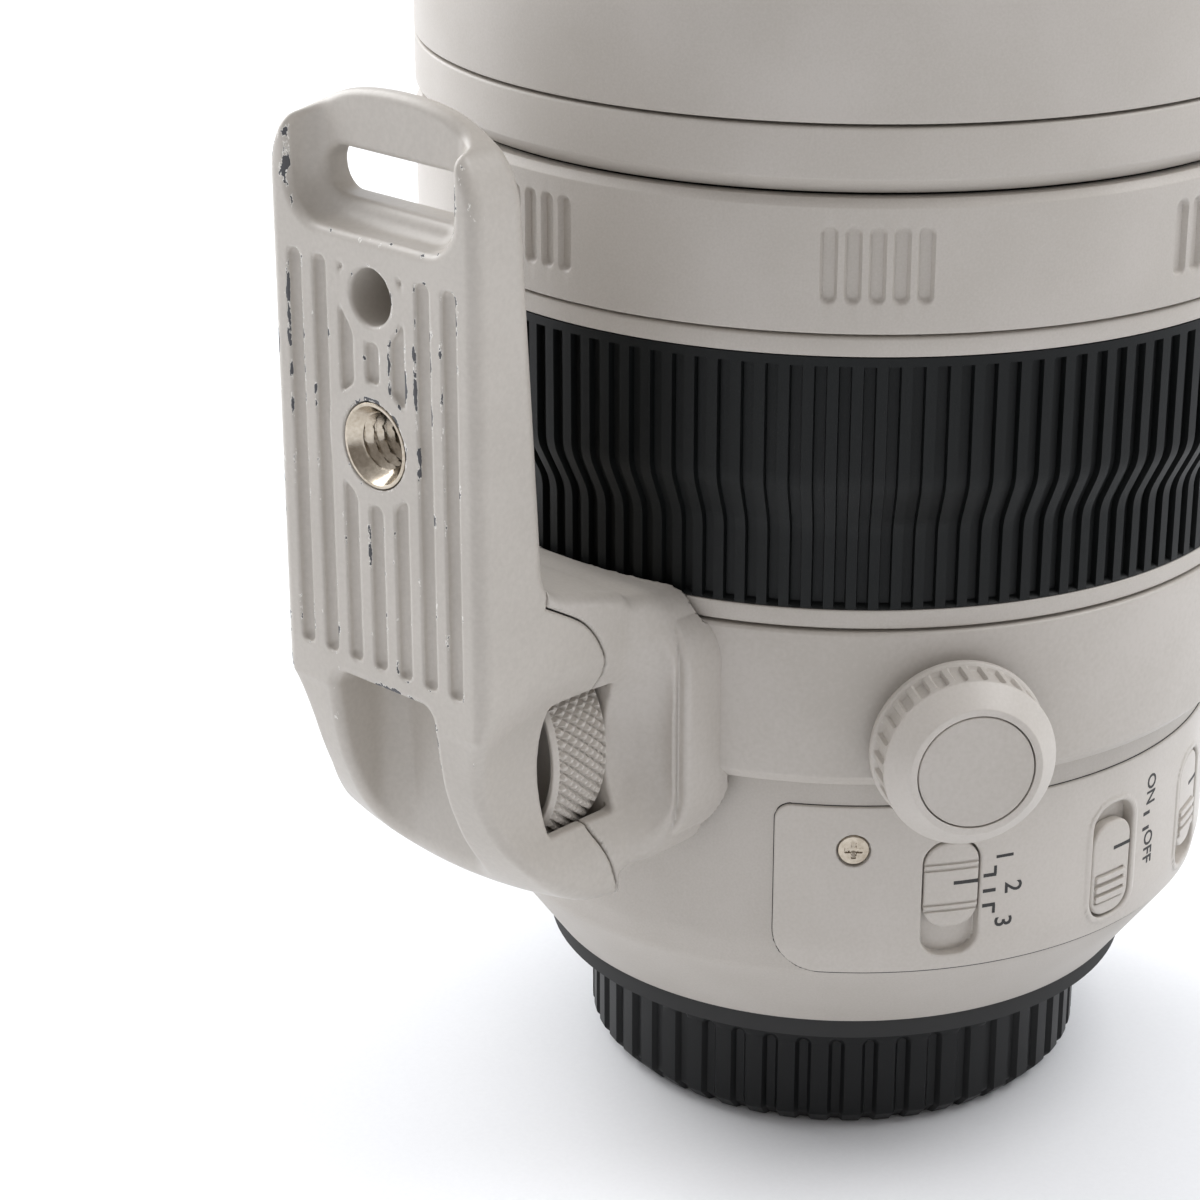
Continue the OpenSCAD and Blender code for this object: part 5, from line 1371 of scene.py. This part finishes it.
@dataclass
class TripodCollar:
    """Collar round the barrel, with its lock knob."""

    inner: float = 41.3
    outer: float = 44.3
    low: float = 49.4
    high: float = 66.5
    knob_angle: float = 54.6
    knob_z: float = 54.8
    knob_r: float = 8.85
    back_r: float = 9.1
    knob_back: float = 45.5
    knob_face: float = 52.6
    ridges: int = 28
    notch_half: float = 0.58
    notch_depth: float = 0.42
    notch_low: float = 46.5
    notch_high: float = 49.4
    disc_r: float = 5.9
    disc_gap: float = 0.14
    # Heights along a notch and places across it where the mesh is cut
    rows: tuple[float, ...] = (46.5, 46.6, 46.7, 46.8, 46.95, 48.0, 49.0, 49.3, 49.5, 49.7, 49.85, 50.0, 50.15)
    columns: tuple[float, ...] = (0, 0.1, 0.14, 0.17, 0.2, 0.23, 0.26, 0.3, 0.4, 0.5)

    def build(self) -> None:
        """Makes the band, the knob's boss, the knob and its disc."""
        lathe("collar_band", [
            (self.inner, self.low), (43.1, self.low, 0.3), (self.outer, 50.7, 0.5), (self.outer, self.high, 0.4),
            (self.inner, self.high)], Finishes.COLLAR_PAINT, "collar", ["collar"])
        place = outward(self.knob_angle, self.knob_z)
        lathe("knob_boss", [(0, 42.5), (6.5, 42.5), (6.5, 45.2, 0.3), (0, 45.2)], Finishes.COLLAR_PAINT, "collar",
              place=place, steps=96, closed=False)
        self.build_knob(place)
        floor, flush = self.knob_face - 1.0, self.knob_face - 0.03
        lathe("lock_knob_disc", [(0, floor), (self.disc_r, floor), (self.disc_r, flush, 0.15), (0, flush)],
              Finishes.COLLAR_PAINT, "lock_knob", ["knob_disc"], place=place, steps=128, closed=False)

    def build_knob(self, place: Matrix) -> None:
        """Makes the ridged knob with the seat of its disc.

        Args:
            place: Turn and shift of the knob's axis.
        """
        face, back, radius, seat = self.knob_face, self.knob_back, self.knob_r, self.disc_r + self.disc_gap
        pitch = 360 / self.ridges
        outline = [(0, back)]
        outline += rounded([(0, back), (self.back_r, back, 0.2), (self.back_r, 46.2, 0.15), (radius, 46.4)])[1:]
        outline += [(radius, z) for z in self.rows]
        outline += rounded([
            (radius, self.rows[-1]), (radius - 0.05, 50.4, 0.3), (6.75, face, 0.3), (seat, face, 0.06),
            (seat, face - 1.0)], 5)[1:]
        outline += [(0, face - 1.0)]

        def notch(r: np.ndarray, a: np.ndarray, z: np.ndarray) -> np.ndarray:
            """Sinks a notch between two ridges, with a round front end.

            Args:
                r: Radius.
                a: Angle in degrees.
                z: Height.

            Returns:
                The change of radius.
            """
            across = np.abs(a / pitch - 0.5) * 2 * math.pi * radius / self.ridges
            form = sunk(across, z - self.notch_high, self.notch_half, self.notch_depth, 0.2)
            return form * np.clip((z - self.notch_low) / 0.25, 0, 1) * (np.abs(r - radius) < 0.01)

        angles = pitch * np.array([*self.columns, *(1 - share for share in self.columns[-2::-1])])
        repeated("lock_knob_ridged", swept(outline, angles, notch, closed=False), self.ridges, Finishes.PALE_PLASTIC,
                 "lock_knob", ["lock_knob"], place, crease=28)


@dataclass
class RibbedGrip:
    """Rubber sleeve with ribs along the lens."""

    name: str
    node: str
    body: str
    skin: tuple[tuple[float, ...], ...]
    ribs: int = 124
    depth: float = 0.75
    wall: float = 1.1
    # Places across one rib's share where the mesh is cut
    columns: tuple[float, ...] = (0, 0.15, 0.215, 0.23, 0.25, 0.28, 0.5, 0.72, 0.75, 0.77, 0.785, 0.85, 1)

    def build(self) -> None:
        """Makes the grip as one rib's share that is repeated round the axis."""
        outer = rounded(self.skin, 6)
        inner = [(r - self.wall, z) for r, z in reversed(outer)]
        pitch, low, high = 360 / self.ribs, outer[0][1] + 0.15, outer[-1][1] - 0.9
        on_skin = (np.arange(len(outer) * 2) < len(outer))[:, None]

        def rib(r: np.ndarray, a: np.ndarray, z: np.ndarray) -> np.ndarray:
            """Sinks the gap between two ribs."""
            ends = np.clip((z - low) / 0.2, 0, 1) * np.clip((high - z) / 0.2, 0, 1)
            return -self.depth * np.clip((0.27 - np.abs(a / pitch - 0.5)) / 0.05, 0, 1) * on_skin * ends

        share = swept(outer + inner, pitch * np.array(self.columns), rib)
        repeated(self.name, share, self.ribs, Finishes.RUBBER, self.body, [self.node], crease=26)


@dataclass
class Rings:
    """Turned rings from the zoom ring to the trim at the nose."""

    bore: float = 44.8
    outer: float = 46.9
    lip: float = 46.6
    grip: float = 46.5
    low_lip: float = 44.0
    low_grip: float = 43.9
    groove_pitch: float = 2.8
    groove_width: float = 1.4
    groove_depth: float = 0.55
    groove_low: float = 101.2
    groove_high: float = 108.5
    group_angle: float = 42.5
    groups: int = 8
    # Places across a groove where the mesh is cut, in half widths from its middle
    columns: tuple[float, ...] = (-1.4, -1.22, -1.1, -1, -0.9, -0.78, -0.5, 0, 0.5, 0.78, 0.9, 1, 1.1, 1.22, 1.4)
    knurls: int = 150
    knurl_rows: int = 6
    knurl_height: float = 0.5

    def build(self) -> None:
        """Makes the rings from rear to front."""
        self.build_zoom_ring()
        self.build_torque_ring()
        lathe("index_band_ring", [
            (self.bore, 111.5), (45.3, 111.5, 0.15), (self.outer, 113.1, 0.3), (self.outer, 118.0, 0.35),
            (self.bore, 118.0)], Finishes.LACQUER, "barrel", ["index_band"])
        lathe("front_shell_tube", [(44.6, 118.3), (self.outer, 118.3, 0.3), (self.outer, 150.5, 0.4), (44.6, 150.5)],
              Finishes.LACQUER, "barrel", ["front_shell"])
        self.build_focus_ring()
        self.build_control_ring()
        low, high, _ = extent("trim_ring")
        lathe("trim_ring_band", [
            (42.4, low), (self.outer, low, 0.35), (self.outer, high - 3.0, 0.8), (45.2, high, 0.4), (42.4, high)],
            Finishes.LACQUER, "barrel", ["trim_ring"])

    def build_zoom_ring(self) -> None:
        """Makes the zoom ring, which widens towards the front, and its grip."""
        lathe("zoom_ring_sleeve", [
            (41.4, 66.8), (self.low_lip, 66.8, 0.35), (self.low_lip, 68.8, 0.2), (42.75, 68.8), (42.75, 77.8),
            (45.35, 82.8), (45.35, 95.8), (self.lip, 95.8, 0.2), (self.lip, 97.8, 0.35), (self.bore, 97.8),
            (self.bore, 86.0), (41.4, 80.0)], Finishes.LACQUER, "zoom_ring", ["zoom_sleeve"])
        skin = [(self.low_grip, z) for z in (68.9, 69.1, 69.35, 73.0)]
        skin += [(self.low_grip, 77.5, 5.0), (self.grip, 82.5, 5.0)]
        skin += [(self.grip, z) for z in (90.0, 94.6, 94.8, 95.0, 95.7)]
        RibbedGrip("zoom_grip_ribs", "zoom_grip", "zoom_ring", tuple(skin)).build()

    def build_focus_ring(self) -> None:
        """Makes the focus ring with a lip at each end, and its grip."""
        low, high, _ = extent("focus_sleeve")
        lathe("focus_ring_sleeve", [
            (self.bore, low), (self.lip, low, 0.35), (self.lip, low + 1.6, 0.2), (45.3, low + 1.6),
            (45.3, high - 1.6), (self.lip, high - 1.6, 0.2), (self.lip, high, 0.35), (self.bore, high)],
            Finishes.LACQUER, "focus_ring", ["focus_sleeve"])
        rows = (low + 1.7, low + 1.9, low + 2.1, high - 2.9, high - 2.7, high - 2.5, high - 1.7)
        RibbedGrip("focus_grip_ribs", "focus_grip", "focus_ring", tuple((self.grip, z) for z in rows)).build()

    def build_torque_ring(self) -> None:
        """Makes the torque ring as one group of grooves that is repeated round the axis."""
        low, high, radius = extent("torque_ring")
        half, pitch = self.groove_width / 2, 360 / self.groups
        ends = np.linspace(-half - 0.25, half + 0.15, 11)
        outline = rounded([(self.bore, low), (radius, low, 0.3), (radius, low + 2.0)])[:-1]
        outline += [(radius, self.groove_low + half + v) for v in ends]
        outline += [(radius, self.groove_high - half - v) for v in ends[::-1]]
        outline += rounded([(radius, high - 2.0), (radius, high - 0.8, 0.3), (radius - 0.7, high, 0.2),
                            (self.bore, high)])[1:]
        spots = pitch / 2 + self.groove_pitch * np.arange(-2, 3)

        def groove(r: np.ndarray, t: np.ndarray, z: np.ndarray) -> np.ndarray:
            """Sinks five round-ended grooves.

            Args:
                r: Radius.
                t: Angle in degrees.
                z: Height.

            Returns:
                The change of radius.
            """
            across = np.radians(np.abs(t[..., None] - spots).min(-1)) * radius
            past = band(z, self.groove_low + half, self.groove_high - half)
            return sunk(across, past, half, self.groove_depth, 0.3) * (r > radius - 0.01)

        near = (spots[:, None] + math.degrees(half / radius) * np.array(self.columns)).ravel()
        angles = np.concatenate([np.linspace(0, near[0], 8)[:-1], near, np.linspace(near[-1], pitch, 8)[1:]])
        points, faces = swept(outline, angles, groove)
        turn = Matrix.Rotation(math.radians(self.group_angle - pitch / 2), 4, "Z")
        repeated("torque_ring_grooved", (moved(points, turn), faces), self.groups, Finishes.LACQUER, "torque_ring",
                 ["torque_ring"], crease=45)

    def build_control_ring(self) -> None:
        """Makes the control ring and the points of its knurl."""
        low, high, radius = extent("control_ring")
        root = radius - self.knurl_height
        lathe("control_ring_core", [
            (self.bore, low), (radius, low, 0.3), (radius, low + 1.2, 0.2), (root, low + 1.7), (root, high - 1.7),
            (radius, high - 1.2, 0.2), (radius, high, 0.3), (self.bore, high)],
            Finishes.CONTROL_ALLOY, "control_ring", ["control_ring"])
        wide, pitch, base = math.pi * root / self.knurls, (high - low - 4.6) / self.knurl_rows, root - 0.05
        tip = np.array([
            [base, -wide, 0], [base, 0, -pitch], [base, wide, 0], [base, 0, pitch], [radius - 0.05, 0, 0]])
        tip[:, 2] += low + 2.3 + pitch / 2
        sides = np.array([[0, 1, 4, 4], [1, 2, 4, 4], [2, 3, 4, 4], [3, 0, 4, 4], [0, 3, 2, 1]])
        repeated("control_ring_knurl", (tip, sides), self.knurls, Finishes.CONTROL_ALLOY, "control_ring",
                 rows=self.knurl_rows, pitch=pitch)


@dataclass
class FrontThread:
    """Filter thread inside the nose."""

    radius: float = 38.4
    pitch: float = 0.75
    low: float = 216.6
    turns: float = 6.0
    ridge: float = 0.3

    def build(self) -> None:
        """Makes the thread's ridge along a helix."""
        start = make_object("filter_thread", (np.zeros((0, 3)), np.zeros((0, 4), int)))
        ridge = grown(start, thread_tree(), Finishes.BLACK_ALLOY, Radius=self.radius * MM, Turns=self.turns,
                      Length=self.turns * self.pitch * MM, Ridge=self.ridge * MM)
        ridge.data.transform(Matrix.Translation((0, 0, self.low * MM)))
        dress(ridge, Finishes.BLACK_ALLOY, "front_barrel", crease=50)


@dataclass
class Solids:
    """Solids whose own shape is right, which get their finish here."""

    def build(self) -> None:
        """Gives each solid that still shows the finish of its slot."""
        by_slot = {finish.value.slot: finish for finish in reversed(Finishes)}
        for part in frame["record"]["subparts"]:
            solid = frame["nodes"][part["node"]].data
            solid.materials.clear()
            solid.materials.append(by_slot[part["material_slot"]].value.material())


@dataclass
class Studio:
    """Pale floor, soft light and the camera. Places are in metres, and the floor's sizes in millimetres."""

    eye: tuple[float, float, float] = (0.2126, -0.2579, 0.1874)
    aim: tuple[float, float, float] = (-0.646, 0.664, -0.376)
    roll: float = -0.0024
    lens: float = 94.98
    floor_half: float = 4000.0
    floor_z: float = -0.1
    # The room is bright all round, and dim on the side that faces this way
    dim_side: tuple[float, float, float] = (0.62, -0.72, 0.3)
    bright: tuple[float, ...] = (1.17, 1.2, 1.26, 1.0)
    dim: tuple[float, ...] = (0.35, 0.332, 0.322, 1.0)
    lit_point: tuple[float, float, float] = (0, 0, 0.09)
    # Name, place, side and watts of each soft light
    lights: tuple[tuple[str, tuple[float, float, float], float, float], ...] = (
        ("left_softbox", (-0.75, -0.1, 0.55), 0.7, 7.0), ("right_softbox", (0.4, 0.38, 0.85), 0.6, 4.6),
    )

    def build(self) -> None:
        """Makes the camera, the floor, the room's light and the soft lights."""
        self.build_camera()
        self.build_floor()
        self.build_room()
        for light in self.lights:
            self.build_light(*light)
        bpy.context.scene.view_settings.view_transform = "Standard"

    def build_floor(self) -> None:
        """Lays the floor of pale paper."""
        corners = ((-1, -1), (1, -1), (1, 1), (-1, 1))
        points = np.array([(x * self.floor_half, y * self.floor_half, self.floor_z) for x, y in corners])
        floor = make_object("floor", (points, np.array([[0, 1, 2, 3]])), weld=False)
        paper = Finish("studio_paper", "", "#f1f2f4", "#eeeff1", 0.85, grain=0.5, relief=0.005, blotch=60.0)
        floor.data.materials.append(paper.material())

    def build_room(self) -> None:
        """Lights the room, bright with one dim side."""
        world = bpy.data.worlds.new("studio")
        bpy.context.scene.world = world
        world.use_nodes = True
        tree = world.node_tree
        tree.nodes.clear()
        place = add_node(tree, "ShaderNodeTexCoord").outputs["Generated"]
        side = add_node(tree, "ShaderNodeVectorMath", {"operation": "DOT_PRODUCT"}, {0: place, 1: self.dim_side})
        share = add_node(tree, "ShaderNodeMapRange", links={0: side.outputs["Value"], 1: -0.1, 2: 0.9}).outputs[0]
        glow = add_node(tree, "ShaderNodeMix", {"data_type": "RGBA"}, {
            0: share, 6: self.bright, 7: self.dim}).outputs[2]
        back = add_node(tree, "ShaderNodeBackground", links={"Color": glow, "Strength": 1.0})
        add_node(tree, "ShaderNodeOutputWorld", links={"Surface": back.outputs[0]})

    def build_camera(self) -> None:
        """Puts the camera where the photograph was taken from."""
        ahead = Vector(self.aim).normalized()
        right = ahead.cross(Vector((0, 0, 1))).normalized()
        up = right.cross(ahead)
        side = right * math.cos(self.roll) + up * math.sin(self.roll)
        top = up * math.cos(self.roll) - right * math.sin(self.roll)
        data = bpy.data.cameras.new("view")
        data.lens, data.sensor_width, data.sensor_fit = self.lens, 36.0, "HORIZONTAL"
        camera = bpy.data.objects.new("view", data)
        camera.matrix_world = Matrix.Translation(self.eye) @ Matrix((side, top, -ahead)).transposed().to_4x4()
        bpy.context.scene.collection.objects.link(camera)
        bpy.context.scene.camera = camera

    def build_light(self, name: str, spot: tuple[float, float, float], size: float, power: float) -> None:
        """Adds one soft light that looks at the lens.

        Args:
            name: Name of the light.
            spot: Its place in metres.
            size: Its side in metres.
            power: Its power in watts.
        """
        data = bpy.data.lights.new(name, "AREA")
        data.size, data.energy = size, power
        lamp = bpy.data.objects.new(name, data)
        lamp.location = spot
        lamp.rotation_euler = (Vector(self.lit_point) - Vector(spot)).to_track_quat("-Z", "Y").to_euler()
        bpy.context.scene.collection.objects.link(lamp)


def main() -> None:
    """Builds the lens from rear to front, then the studio."""
    logging.basicConfig(level=logging.INFO, format="%(message)s")
    for part in (Solids(), RearCap(), RearBarrel(), TripodCollar(), TripodMount(), Rings(), FrontThread(), Studio()):
        log.info("building %s", type(part).__name__)
        part.build()


if __name__ == "__main__":
    main()
